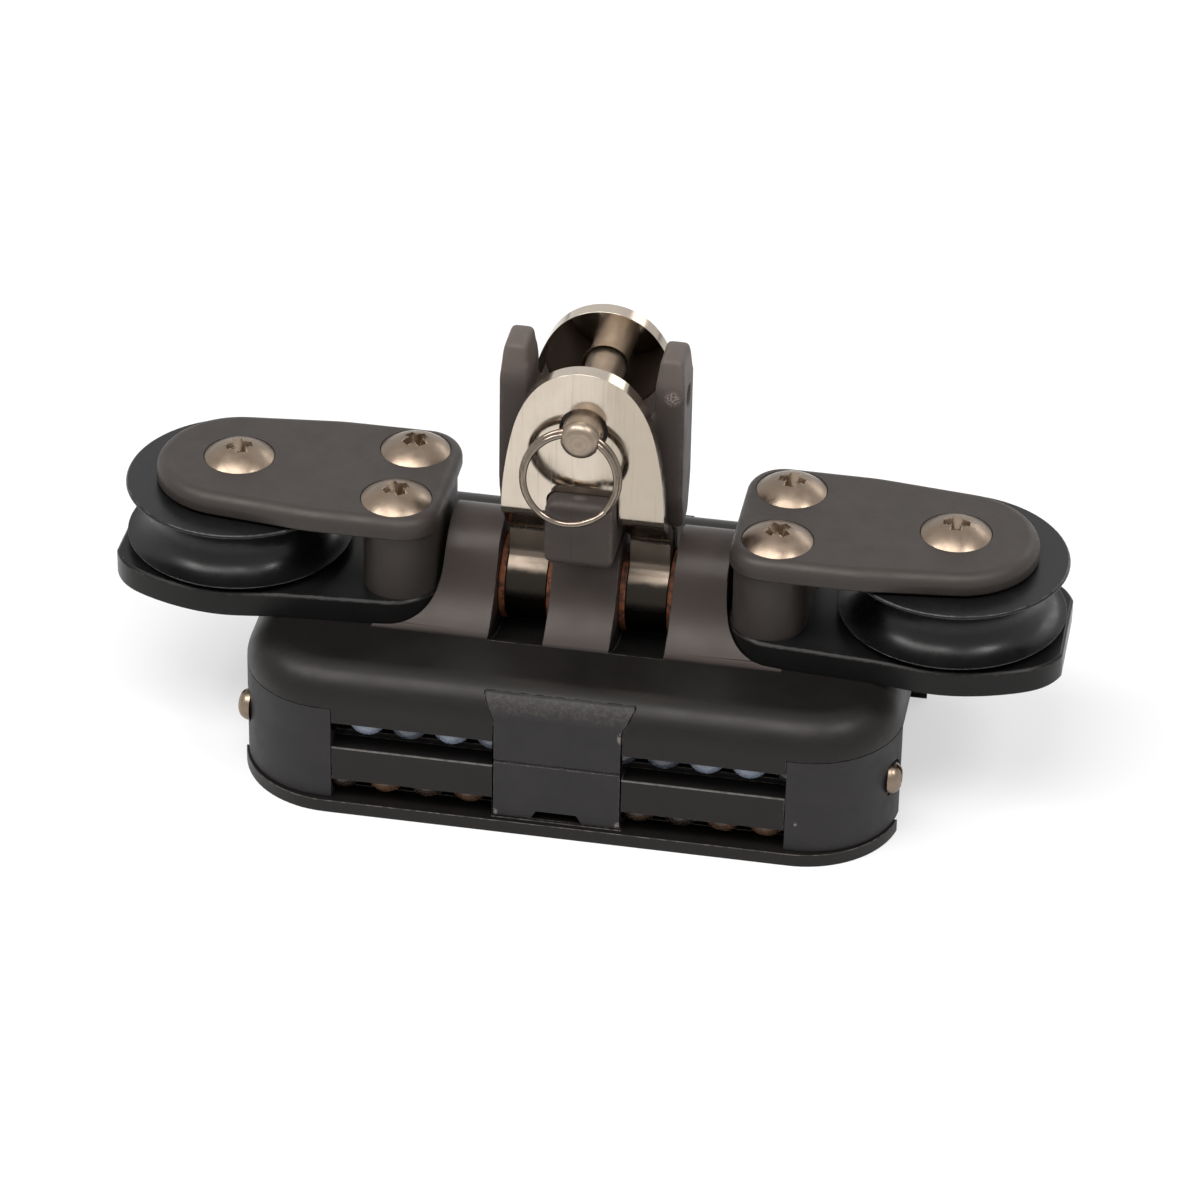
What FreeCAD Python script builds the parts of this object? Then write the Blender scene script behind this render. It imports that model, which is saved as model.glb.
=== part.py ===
import FreeCAD, Part

import math
import os

# Millimetres. X runs along the track, Z is up, and the origin is at the bottom centre of the car.

# Car body
flange_length = 100.0
flange_width = 60.0
flange_thickness = 2.1
flange_corner_radius = 15.0
side_inset = 1.0
end_inset = 0.35
body_height = 24.0
body_edge_radius = 5.5

# Channel for the track
channel_roof_thickness = 6.4
channel_mouth_step = 2.1

# Ball circuits: a loaded row beside the track and a return row behind the side windows
ball_diameter = 6.35
ball_gap = 0.04
race_clearance = 0.075
ball_proud = 1.375
ball_row_gap = 1.25
return_row_wall = 0.55
lower_row_floor = 0.05
upper_row_gap = 3.65
turn_inset = 14.15
lower_first_ball_x = -32.8
upper_first_ball_x = -29.2

# Side windows, with heights from the ball rows behind them
window_keeper_gap = 0.2
window_bar_above_lower_row = 0.1
window_bar_below_upper_row = 4.25
window_lip_above_upper_row = 0.1

# End caps
cap_length = 15.55
cap_above_upper_row = 2.6
cap_clearance = 0.1
cap_screw_offset_y = 2.0
cap_screw_offset_z = 0.4
cap_screw_radius = 1.25
cap_screw_head_radius = 2.45
cap_screw_head_height = 1.75
cap_screw_engagement = 7.0
cap_screw_slot_depth = 0.8
cap_screw_seat_depth = 1.35
cap_screw_seat_gap = 0.35

# Keepers, the clips that close the ball loading slots
keeper_half_width = 9.5
keeper_top_half_width = 11.2
keeper_shoulder_drop = 4.6
keeper_top_step = 1.3
keeper_bottom = 2.6
keeper_depth = 2.3
keeper_proud = 0.15
keeper_clearance = 0.1
keeper_notch_half_width = 3.8
keeper_notch_top_half_width = 3.0
keeper_notch_height = 1.3
keeper_groove_height = 12.0
keeper_groove_depth = 0.3
keeper_groove_width = 0.5
keeper_tongue_half_width = 4.0
keeper_tongue_height = 2.0
keeper_tongue_depth = 3.2

# Raised boss with three ears
boss_foot_half_width = 15.0
boss_crown_wall = 4.0
boss_crown_rise = 5.0
boss_crown_end_angle = 22.0
boss_flare_sag = 1.05
boss_overlap = 9.4
centre_ear_half_width = 5.0
strap_gap_width = 8.3
strap_floor_gap = 0.55

# Axle of the toggle
axle_radius = 4.0
axle_rise = 2.5
axle_end_gap = 0.4
axle_chamfer = 0.6
fit_clearance = 0.05
washer_wall = 2.7
washer_thickness = 0.9

# Distance from the axle to the clevis pin, which sets the length of the toggle
toggle_reach = 33.0

# Steel strap, with its bends above the axle and its domed plates round the clevis pin
strap_thickness = 2.5
strap_side_play = 0.2
strap_bend_rise = 12.1
strap_plate_bend_rise = 17.7
strap_plate_outer_y = 10.5
strap_bend_radius = 2.6
strap_top_above_pin = 9.3
strap_side_arc_below_pin = 4.0
strap_side_arc_half_width = 11.15
strap_shoulder_above_pin = 2.9
strap_shoulder_half_width = 9.15
strap_crown_radius = 9.6
strap_crown_half_width = 5.6
strap_slot_half_width = 5.35
strap_slot_below_pin = 11.0
strap_slot_corner = 1.5
strap_hole_clearance = 0.6

# Upright insert held between the strap's plates
insert_half_width = 13.8
insert_top_half_width = 13.3
insert_top_above_pin = 9.2
insert_lean_above_pin = 3.7
insert_lean_radius = 5.0
insert_side_radius = 1.2
insert_throat_lean = 0.7
insert_throat_radius = 9.3
insert_throat_above_pin = 2.5
insert_ear_half_depth = 4.2
insert_ear_slope_above_pin = 4.5
insert_ear_crease_drop = 0.65
insert_ear_crease_half_depth = 3.2
insert_ear_taper_above_bend = 0.6
insert_ear_taper_radius = 6.0
insert_ear_foot_below_bend = 5.5
insert_ear_foot_half_depth = 2.0
insert_ear_foot_radius = 1.5
insert_seat_half_width = 9.0
insert_seat_above_bend = 0.4
insert_tab_side_gap = 0.2
insert_tab_proud = 3.1
insert_tab_below_bend = 6.85
insert_tab_bottom_radius = 1.4
insert_tab_top_radius = 1.3
insert_clearance = 0.1
insert_hole_radius = 1.6
insert_hole_above_pin = 1.4
insert_hole_depth = 2.4

# Clevis pin and split ring
pin_radius = 3.0
pin_tip_proud = 4.2
pin_tip_radius = 1.6
pin_head_radius = 4.9
pin_head_thickness = 2.2
pin_head_chamfer = 0.5
pin_head_gap = 0.3
ring_wire = 0.95
ring_mean_radius = 7.0
ring_hole_inset = 2.15
ring_hole_clearance = 0.2
ring_tilt = 14.0
ring_swing = 11.0
ring_slit = 0.35
ring_slit_angle = 12.0

# Sheave units, one at each end, with their lengths along X from the sheave's axis
sheave_overhang = 4.3
sheave_radius = 17.2
sheave_width = 10.1
sheave_clearance = 0.4
sheave_rim_thickness = 1.0
sheave_groove_bottom_radius = 12.6
sheave_recess_depth = 0.5
sheave_recess_radius = 9.5
liner_wall = 1.2
hub_radius = 6.0
hub_flange_radius = 8.0
hub_flange_thickness = 1.2
base_thickness = 4.0
base_outboard_offset = 17.5
base_outboard_half_width = 7.5
base_shoulder_offset = 11.2
base_shoulder_half_width = 13.7
base_bulge_offset = -0.3
base_bulge_half_width = 16.3
base_waist_offset = -11.3
base_waist_half_width = 15.0
base_inboard_offset = -32.7
base_inboard_half_width = 13.5
base_inboard_radius = 8.0
base_edge_chamfer = 0.35
boss_pocket_clearance = 0.25

# Cheek covers
cover_thickness = 3.3
cover_nose_radius = 12.5
cover_shoulder_offset = -13.3
cover_shoulder_half_width = 14.1
cover_shoulder_radius = 40.0
cover_inboard_offset = -32.5
cover_corner_radius = 5.8
cover_top_radius = 2.0
cover_bottom_radius = 0.4
cover_wall_inset = 0.6
cover_wall_length = 11.1
cover_wall_half_width = 13.0

# Cover screws
cover_screw_offset = -25.6
cover_screw_y = 7.1
cover_screw_radius = 3.0
cover_screw_head_radius = 5.35
cover_screw_dome = 2.1
cover_screw_cone_angle = 45.0
cover_screw_sink = 0.15
cover_screw_end_gap = 0.7
cross_recess_depth = 1.9
cross_recess_length = 5.6
cross_recess_width = 1.15


# Sizes that follow from the ones above: car body and ball rows
side_half_length = flange_length / 2 - end_inset
side_half_width = flange_width / 2 - side_inset
side_corner_radius = flange_corner_radius - side_inset
ball_radius = ball_diameter / 2
ball_pitch = ball_diameter + ball_gap
race_radius = ball_radius + race_clearance
return_row_y = side_half_width - return_row_wall - race_radius
loaded_row_y = return_row_y - ball_diameter - ball_row_gap
lower_row_height = flange_thickness + lower_row_floor + race_radius
upper_row_height = lower_row_height + ball_diameter + upper_row_gap
turn_radius = (return_row_y - loaded_row_y) / 2
turn_centre_x = side_half_length - turn_inset
turn_centre_y = (return_row_y + loaded_row_y) / 2
channel_half_width = loaded_row_y - ball_radius + ball_proud
channel_mouth_half_width = channel_half_width + channel_mouth_step
channel_roof_height = body_height - channel_roof_thickness

# Windows, end caps and keepers
window_inner_x = keeper_half_width + window_keeper_gap
window_outer_x = side_half_length - cap_length
window_bar_bottom = lower_row_height + window_bar_above_lower_row
window_bar_top = upper_row_height - window_bar_below_upper_row
window_lip_height = upper_row_height + window_lip_above_upper_row
cap_height = upper_row_height + cap_above_upper_row
cap_screw_y = loaded_row_y + cap_screw_offset_y
cap_screw_height = (lower_row_height + upper_row_height) / 2 + cap_screw_offset_z
cap_screw_seat_x = side_half_length - cap_screw_seat_depth
keeper_shoulder_height = body_height - keeper_shoulder_drop

# Sheave units
sheave_axis_x = flange_length / 2 + sheave_overhang
base_outboard_x = sheave_axis_x + base_outboard_offset
base_shoulder_x = sheave_axis_x + base_shoulder_offset
base_bulge_x = sheave_axis_x + base_bulge_offset
base_waist_x = sheave_axis_x + base_waist_offset
base_inboard_x = sheave_axis_x + base_inboard_offset
base_top = body_height + base_thickness
sheave_bottom = base_top + sheave_clearance
sheave_top = sheave_bottom + sheave_width
cover_underside = sheave_top + sheave_clearance
cover_top_height = cover_underside + cover_thickness
cover_shoulder_x = sheave_axis_x + cover_shoulder_offset
cover_inboard_x = sheave_axis_x + cover_inboard_offset
cover_screw_x = sheave_axis_x + cover_screw_offset

# Boss, axle and washers
axle_height = body_height + axle_rise
axle_half_length = base_inboard_x - axle_end_gap
boss_half_length = base_inboard_x + boss_overlap
boss_crown_radius = axle_radius + boss_crown_wall
boss_crown_height = body_height + boss_crown_rise
washer_radius = axle_radius + washer_wall
gap_outer_x = centre_ear_half_width + strap_gap_width

# Strap
pin_height = axle_height + toggle_reach
strap_half_width = gap_outer_x - washer_thickness - strap_side_play
strap_fork_half_width = centre_ear_half_width + washer_thickness + strap_side_play
strap_inner_radius = axle_radius + fit_clearance
strap_flank_y = strap_inner_radius + strap_thickness
strap_plate_inner_y = strap_plate_outer_y - strap_thickness
strap_bend_height = axle_height + strap_bend_rise
strap_plate_bend_height = axle_height + strap_plate_bend_rise
strap_slot_top = pin_height - strap_slot_below_pin
strap_side_arc_height = pin_height - strap_side_arc_below_pin
strap_shoulder_height = pin_height + strap_shoulder_above_pin
strap_top_height = pin_height + strap_top_above_pin
strap_crown_drop = strap_crown_radius - math.sqrt(strap_crown_radius ** 2 - strap_crown_half_width ** 2)
strap_hole_radius = pin_radius + strap_hole_clearance
gap_floor_depth = body_height - axle_height + strap_flank_y + strap_floor_gap

# Upright insert
insert_top = pin_height + insert_top_above_pin
insert_lean_height = pin_height + insert_lean_above_pin
insert_throat_height = pin_height + insert_throat_above_pin
insert_ear_slope_height = pin_height + insert_ear_slope_above_pin
insert_ear_crease_height = insert_top - insert_ear_crease_drop
insert_ear_taper_height = strap_plate_bend_height + insert_ear_taper_above_bend
insert_bottom = strap_plate_bend_height - insert_ear_foot_below_bend
insert_seat_bottom = strap_plate_bend_height + insert_seat_above_bend
insert_tab_bottom = strap_plate_bend_height - insert_tab_below_bend
insert_tab_half_width = strap_slot_half_width - insert_tab_side_gap
insert_tab_front_y = strap_plate_outer_y + insert_tab_proud
insert_hole_height = pin_height + insert_hole_above_pin
insert_top_radius = 0.45 * (insert_top_half_width - insert_throat_radius - insert_throat_lean)

# Clevis pin and split ring
pin_tip_y = -strap_plate_outer_y - pin_tip_proud
ring_hole_y = pin_tip_y + ring_hole_inset
ring_sag = ring_mean_radius - math.sqrt(ring_mean_radius ** 2 - pin_radius ** 2)
ring_hole_radius = math.hypot(ring_wire, (ring_wire + ring_sag) / 2) + ring_hole_clearance


def vec(x, y, z):
    return FreeCAD.Vector(x, y, z)


def box(x0, x1, y0, y1, z0, z1):
    return Part.makeBox(x1 - x0, y1 - y0, z1 - z0, vec(x0, y0, z0))


def rod_x(radius, x0, x1, y, z):
    return Part.makeCylinder(radius, x1 - x0, vec(x0, y, z), vec(1, 0, 0))


def rod_y(radius, y0, y1, x, z):
    return Part.makeCylinder(radius, y1 - y0, vec(x, y0, z), vec(0, 1, 0))


def rod_z(radius, z0, z1, x, y):
    return Part.makeCylinder(radius, z1 - z0, vec(x, y, z0))


def mirror_x(shape):
    return shape.mirror(vec(0, 0, 0), vec(1, 0, 0))


def mirror_y(shape):
    return shape.mirror(vec(0, 0, 0), vec(0, 1, 0))


def corner_steps(before, corner, after, radius):
    """Start, middle and end of the round at a corner of an outline, or the corner itself if sharp."""
    if radius <= 0:
        return [corner]
    to_before = (before - corner).normalize()
    to_after = (after - corner).normalize()
    half_angle = to_before.getAngle(to_after) / 2
    reach = radius / math.tan(half_angle)
    bisector = (to_before + to_after).normalize()
    middle = corner + bisector * (radius / math.sin(half_angle) - radius)
    return [corner + to_before * reach, middle, corner + to_after * reach]


def rounded_wire(corners, plane, closed=True):
    """Wire through flat corners (u, v, radius), with each corner rounded by its own radius."""
    points = [plane(u, v) for u, v, radius in corners]
    count = len(points)
    edges = []
    first = None
    last = None
    for index, (u, v, radius) in enumerate(corners):
        is_end = not closed and index in (0, count - 1)
        before = points[index - 1]
        after = points[(index + 1) % count]
        steps = corner_steps(before, points[index], after, 0 if is_end else radius)
        if last is not None and last.distanceToPoint(steps[0]) > 1e-6:
            edges.append(Part.LineSegment(last, steps[0]).toShape())
        if len(steps) == 3:
            edges.append(Part.Arc(steps[0], steps[1], steps[2]).toShape())
        first = steps[0] if first is None else first
        last = steps[-1]
    if closed and last.distanceToPoint(first) > 1e-6:
        edges.append(Part.LineSegment(last, first).toShape())
    return Part.Wire(edges)


def plan(z):
    return lambda u, v: vec(u, v, z)


def front_view(y):
    return lambda u, v: vec(u, y, v)


def side_view(x):
    return lambda u, v: vec(x, u, v)


def plate_z(corners, z0, z1):
    return Part.Face(rounded_wire(corners, plan(z0))).extrude(vec(0, 0, z1 - z0))


def plate_y(corners, y0, y1):
    return Part.Face(rounded_wire(corners, front_view(y0))).extrude(vec(0, y1 - y0, 0))


def plate_x(corners, x0, x1):
    return Part.Face(rounded_wire(corners, side_view(x0))).extrude(vec(x1 - x0, 0, 0))


def rounded_block(half_length, half_width, corner_radius, z0, z1):
    corners = [(half_length, -half_width), (half_length, half_width),
               (-half_length, half_width), (-half_length, -half_width)]
    return plate_z([(x, y, corner_radius) for x, y in corners], z0, z1)


def turned(profile, x, y, z):
    """Solid turned about a vertical axis from (radius, height) points. A step of four numbers is an arc."""
    edges = []
    last = profile[0]
    for step in profile[1:] + [profile[0]]:
        if len(step) == 4:
            middle = vec(step[0], 0, step[1])
            end = (step[2], step[3])
            curve = Part.Arc(vec(last[0], 0, last[1]), middle, vec(end[0], 0, end[1]))
        else:
            end = step
            curve = Part.LineSegment(vec(last[0], 0, last[1]), vec(end[0], 0, end[1]))
        edges.append(curve.toShape())
        last = end
    solid = Part.Face(Part.Wire(edges)).revolve(vec(0, 0, 0), vec(0, 0, 1), 360)
    solid.translate(vec(x, y, z))
    return solid


def edges_at(shape, test):
    return [edge for edge in shape.Edges if all(test(vertex.Point) for vertex in edge.Vertexes)]


def at_height(z):
    return lambda point: abs(point.z - z) < 1e-4


def round_height_edges(shape, z, radius):
    return shape.makeFillet(radius, edges_at(shape, at_height(z)))


def one_solid(shape):
    """The single solid of a finished piece, with its seams merged."""
    solids = shape.removeSplitter().Solids
    return max(solids, key=lambda solid: solid.Volume)


def body_blank(grow=0.0):
    """The car's outer form above the flange: a block with a round top edge."""
    block = rounded_block(side_half_length + grow, side_half_width + grow, side_corner_radius + grow,
                          0, body_height + grow)
    return round_height_edges(block, body_height + grow, body_edge_radius + grow)


def ball_races(side):
    """The straight tunnels and round turns of the two ball circuits on one side of the car."""
    races = []
    for row_z in (lower_row_height, upper_row_height):
        for row_y in (loaded_row_y, return_row_y):
            races.append(rod_x(race_radius, -turn_centre_x, turn_centre_x, side * row_y, row_z))
        for end in (1, -1):
            centre = vec(end * turn_centre_x, side * turn_centre_y, row_z)
            turn = Part.makeTorus(turn_radius, race_radius, vec(0, 0, 0), vec(0, 0, 1), 0, 360, 180)
            turn.rotate(vec(0, 0, 0), vec(0, 0, 1), -90 * end)
            turn.translate(centre)
            races.append(turn)
    return races


def window_cut(end, side):
    x0, x1 = sorted((end * window_inner_x, end * window_outer_x))
    y0, y1 = sorted((side * return_row_y, side * flange_width / 2))
    upper = box(x0, x1, y0, y1, window_bar_top, window_lip_height)
    lower = box(x0, x1, y0, y1, flange_thickness, window_bar_bottom)
    return [upper, lower]


def cap_space(end, side, gap=0.0):
    """The corner of the car that one end cap fills, smaller all round by the gap."""
    x0, x1 = sorted((end * (window_outer_x + gap), end * (side_half_length + body_edge_radius)))
    y0, y1 = sorted((side * (channel_half_width + gap), side * (flange_width / 2 + body_edge_radius)))
    return box(x0, x1, y0, y1, flange_thickness + gap, cap_height - gap)


def keeper_outline(gap):
    notch_top = keeper_bottom + keeper_notch_height
    low = keeper_half_width + gap
    high = keeper_top_half_width + gap
    top = body_height + body_edge_radius
    step = body_height - keeper_top_step
    corners = [(low, keeper_bottom - gap), (low, keeper_shoulder_height), (high, step), (high, top),
               (-high, top), (-high, step), (-low, keeper_shoulder_height), (-low, keeper_bottom - gap)]
    if gap == 0:
        corners += [(-keeper_notch_half_width, keeper_bottom), (-keeper_notch_top_half_width, notch_top),
                    (keeper_notch_top_half_width, notch_top), (keeper_notch_half_width, keeper_bottom)]
    return [(x, z, 0) for x, z in corners]


def keeper_space(side, gap):
    """The recess of one keeper, or with no gap the room that the keeper itself takes."""
    inner = side_half_width - keeper_depth - gap
    outer = flange_width
    skin = plate_y(keeper_outline(gap), inner, outer)
    tongue_height = keeper_tongue_height + 2 * gap
    tongue_z = (window_bar_bottom + window_bar_top) / 2 - tongue_height / 2
    tongue = box(-keeper_tongue_half_width - gap, keeper_tongue_half_width + gap,
                 inner - keeper_tongue_depth, inner, tongue_z, tongue_z + tongue_height)
    space = skin.fuse(tongue)
    return space if side > 0 else mirror_y(space)


def boss_profile():
    """Half of the ears' side view, from the top of the crown to the foot."""
    angle = math.radians(boss_crown_end_angle)
    crown_top = (0, boss_crown_height + boss_crown_radius)
    crown_middle_angle = (math.pi / 2 + angle) / 2
    crown_middle = (boss_crown_radius * math.cos(crown_middle_angle),
                    boss_crown_height + boss_crown_radius * math.sin(crown_middle_angle))
    crown_end = (boss_crown_radius * math.cos(angle),
                 boss_crown_height + boss_crown_radius * math.sin(angle))
    foot = (boss_foot_half_width, body_height)
    run = math.hypot(foot[0] - crown_end[0], foot[1] - crown_end[1])
    across = ((crown_end[1] - foot[1]) / run, (foot[0] - crown_end[0]) / run)
    flare_middle = ((crown_end[0] + foot[0]) / 2 - across[0] * boss_flare_sag,
                    (crown_end[1] + foot[1]) / 2 - across[1] * boss_flare_sag)
    return crown_top, crown_middle, crown_end, flare_middle, foot


def boss():
    """Boss milled to one section along its length, slotted for the strap."""
    top, crown_middle, crown_end, flare_middle, foot = boss_profile()
    root = channel_roof_height + 1
    edges = []
    for sign in (1, -1):
        p = [vec(0, sign * y, z) for y, z in (top, crown_middle, crown_end, flare_middle, foot)]
        low = vec(0, sign * foot[0], root)
        edges.append(Part.Arc(p[0], p[1], p[2]).toShape())
        edges.append(Part.Arc(p[2], p[3], p[4]).toShape())
        edges.append(Part.LineSegment(p[4], low).toShape())
        edges.append(Part.LineSegment(low, vec(0, 0, root)).toShape())
    section = Part.Face(Part.Wire(Part.__sortEdges__(edges)))
    section.translate(vec(-boss_half_length, 0, 0))
    return section.extrude(vec(2 * boss_half_length, 0, 0))


def strap_gaps():
    """Round-floored slots in which the strap swings, one each side of the centre ear."""
    radius = (boss_foot_half_width ** 2 + gap_floor_depth ** 2) / (2 * gap_floor_depth)
    centre_z = body_height - gap_floor_depth + radius
    gap = rod_x(radius, centre_ear_half_width, gap_outer_x, 0, centre_z)
    return [gap, mirror_x(gap)]


def base_inboard_edges(gap):
    """The round inboard end of a base plate and its tapering sides, as far as the waist."""
    ends = [(base_waist_x, base_waist_half_width + gap, 0),
            (base_inboard_x - gap, base_inboard_half_width + gap, base_inboard_radius + gap)]
    corners = ends + [(x, -y, radius) for x, y, radius in reversed(ends)]
    return rounded_wire(corners, plan(0), closed=False).Edges


def base_outline():
    """Plan of the plate under a sheave, for the end at +X."""
    points = [vec(base_waist_x, base_waist_half_width, 0),
              vec(base_bulge_x, base_bulge_half_width, 0),
              vec(base_shoulder_x, base_shoulder_half_width, 0),
              vec(base_outboard_x, base_outboard_half_width, 0)]
    along_side = vec(base_waist_x - base_inboard_x, base_waist_half_width - base_inboard_half_width, 0)
    bulge = Part.BSplineCurve()
    bulge.interpolate(points, InitialTangent=along_side, FinalTangent=vec(1, -3, 0))
    bulge = bulge.toShape()
    tip = points[-1]
    end = Part.LineSegment(tip, vec(tip.x, -tip.y, 0)).toShape()
    return Part.Wire(Part.__sortEdges__(base_inboard_edges(0) + [bulge, end, mirror_y(bulge)]))


def base_pocket():
    """Room for a base plate's round end in the boss, with a small gap round it."""
    edges = base_inboard_edges(boss_pocket_clearance)
    half_width = base_waist_half_width + boss_pocket_clearance
    close = Part.LineSegment(vec(base_waist_x, half_width, 0), vec(base_waist_x, -half_width, 0)).toShape()
    face = Part.Face(Part.Wire(Part.__sortEdges__(edges + [close])))
    face.translate(vec(0, 0, body_height))
    return face.extrude(vec(0, 0, cover_top_height))


def cover_screw_holes(radius, z0, z1):
    return [rod_z(radius, z0, z1, cover_screw_x, side * cover_screw_y) for side in (1, -1)]


def make_body():
    """The car body, milled from one bar: flange, block, channel, ball rows, windows and eared boss."""
    flange = rounded_block(flange_length / 2, flange_width / 2, flange_corner_radius, 0, flange_thickness)
    body = body_blank().fuse([flange, boss()])
    far = flange_length
    mouth = box(-far, far, -channel_mouth_half_width, channel_mouth_half_width, -1, lower_row_height)
    channel = box(-far, far, -channel_half_width, channel_half_width, -1, channel_roof_height)
    cuts = [mouth, channel]
    for side in (1, -1):
        cuts += ball_races(side)
        cuts.append(keeper_space(side, keeper_clearance))
        for end in (1, -1):
            cuts += window_cut(end, side)
            cuts.append(cap_space(end, side))
            cuts.append(cap_screw_hole(end, side))
    cuts += strap_gaps()
    cuts.append(rod_x(axle_radius + fit_clearance, -far, far, 0, axle_height))
    pocket = base_pocket()
    cuts += [pocket, mirror_x(pocket)]
    screw_room = cover_screw_radius + fit_clearance
    for hole in cover_screw_holes(screw_room, channel_roof_height - 1, body_height + 1):
        cuts += [hole, mirror_x(hole)]
    return one_solid(body.cut(cuts))


def cap_screw_hole(end, side):
    x0, x1 = sorted((end * (window_outer_x - cap_screw_engagement - 1), end * (side_half_length + 1)))
    return rod_x(cap_screw_radius + fit_clearance, x0, x1, side * cap_screw_y, cap_screw_height)


def make_end_cap(end, side):
    """Moulded corner cap that holds the turns of the two ball circuits."""
    cap = body_blank().common(cap_space(end, side, cap_clearance))
    x0, x1 = sorted((end * cap_screw_seat_x, end * flange_length))
    seat = rod_x(cap_screw_head_radius + cap_screw_seat_gap, x0, x1, side * cap_screw_y, cap_screw_height)
    return one_solid(cap.cut(ball_races(side) + [cap_screw_hole(end, side), seat]))


def make_cap_screws():
    """Four pan head screws with a plain slot, one in each end cap."""
    radius = cap_screw_head_radius
    top = cap_screw_head_height
    head = turned([(0, 0), (radius, 0), (radius * 0.82, top * 0.8, 0, top)], 0, 0, 0)
    shank_length = cap_screw_seat_x - window_outer_x + cap_screw_engagement
    shank = rod_z(cap_screw_radius, -shank_length, 0.1, 0, 0)
    half_slot = cap_screw_slot_depth / 2
    slot = box(-radius, radius, -half_slot, half_slot, top - cap_screw_slot_depth, top + 1)
    screw = one_solid(head.fuse(shank).cut(slot))
    screws = []
    for end in (1, -1):
        for side in (1, -1):
            piece = screw.copy()
            piece.rotate(vec(0, 0, 0), vec(0, 1, 0), end * 90)
            piece.translate(vec(end * cap_screw_seat_x, side * cap_screw_y, cap_screw_height))
            screws.append(piece)
    return Part.makeCompound(screws)


def make_keeper(side):
    """Moulded clip over the ball loading slot, following the body's round top edge."""
    keeper = body_blank(keeper_proud).common(keeper_space(side, 0))
    groove_y = side * (side_half_width + keeper_proud)
    y0, y1 = sorted((groove_y - side * keeper_groove_depth, groove_y + side))
    groove_top = keeper_groove_height + keeper_groove_width
    groove = box(-flange_length, flange_length, y0, y1, keeper_groove_height, groove_top)
    return one_solid(keeper.cut(ball_races(side) + [groove]))


def ball_path(distance):
    """Point on a ball circuit, measured from the middle of the return row, as (x, y)."""
    straight = 2 * turn_centre_x
    turn = math.pi * turn_radius
    distance = (distance + straight / 2) % (2 * (straight + turn))
    if distance < straight:
        return distance - straight / 2, return_row_y
    distance -= straight
    if distance < turn:
        angle = math.pi / 2 - distance / turn_radius
        return turn_centre_x + turn_radius * math.cos(angle), turn_centre_y + turn_radius * math.sin(angle)
    distance -= turn
    if distance < straight:
        return straight / 2 - distance, loaded_row_y
    angle = -math.pi / 2 - (distance - straight) / turn_radius
    return -turn_centre_x + turn_radius * math.cos(angle), turn_centre_y + turn_radius * math.sin(angle)


def ball_places(first_x):
    """Centres of a full circuit of balls, each just clear of the one before it."""
    loop = 4 * turn_centre_x + 2 * math.pi * turn_radius
    places = [ball_path(first_x)]
    travelled = 0.0
    while True:
        step = ball_pitch
        here = places[-1]
        while math.dist(ball_path(first_x + travelled + step), here) < ball_pitch - 1e-6:
            step += 0.02
        travelled += step
        candidate = ball_path(first_x + travelled)
        if travelled > loop - ball_pitch or math.dist(candidate, places[0]) < ball_pitch - 1e-6:
            return places
        places.append(candidate)


def make_ball_circuit(first_x, height, side):
    """All the balls of one circuit."""
    balls = []
    for x, y in ball_places(first_x):
        balls.append(Part.makeSphere(ball_radius, vec(x, side * y, height)))
    return Part.makeCompound(balls)


def make_axle():
    axle = rod_x(axle_radius, -axle_half_length, axle_half_length, 0, axle_height)
    ends = [edge for edge in axle.Edges if len(edge.Vertexes) == 1]
    return axle.makeChamfer(axle_chamfer, ends)


def make_washer(x):
    disc = rod_x(washer_radius, x, x + washer_thickness, 0, axle_height)
    return disc.cut(rod_x(axle_radius + fit_clearance, x - 1, x + washer_thickness + 1, 0, axle_height))


def strap_section():
    """The strap's outer line in side view, from the top of one plate, round the axle, to the other."""
    bottom = axle_height - strap_flank_y
    half = [(strap_plate_outer_y, strap_top_height + 1, 0),
            (strap_plate_outer_y, strap_plate_bend_height, strap_bend_radius + strap_thickness),
            (strap_flank_y, strap_bend_height, strap_bend_radius),
            (strap_flank_y, bottom, strap_flank_y)]
    return half + [(-y, z, radius) for y, z, radius in reversed(half)]


def strap_outline():
    """Front view of the strap: straight sides below, a domed top above."""
    corners = [(-strap_half_width, 0), (strap_half_width, 0)]
    bottom = [vec(x, 0, z) for x, z in corners]
    side_top = vec(strap_half_width, 0, strap_plate_bend_height)
    side_arc = vec(strap_side_arc_half_width, 0, strap_side_arc_height)
    shoulder = vec(strap_shoulder_half_width, 0, strap_shoulder_height)
    crown = vec(0, 0, strap_top_height)
    crown_end = vec(strap_crown_half_width, 0, strap_top_height - strap_crown_drop)
    right = Part.BSplineCurve()
    right.interpolate([side_top, side_arc, shoulder, crown_end], InitialTangent=vec(0, 0, 1),
                      FinalTangent=vec(strap_crown_drop - strap_crown_radius, 0, strap_crown_half_width))
    right = right.toShape()
    arc = Part.Arc(crown_end, crown, vec(-crown_end.x, 0, crown_end.z)).toShape()
    side = Part.LineSegment(bottom[1], side_top).toShape()
    foot = Part.LineSegment(bottom[0], bottom[1]).toShape()
    edges = [foot, side, right, arc, mirror_x(right), mirror_x(side)]
    face = Part.Face(Part.Wire(Part.__sortEdges__(edges)))
    depth = strap_plate_outer_y + 1
    face.translate(vec(0, -depth, 0))
    return face.extrude(vec(0, 2 * depth, 0))


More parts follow.
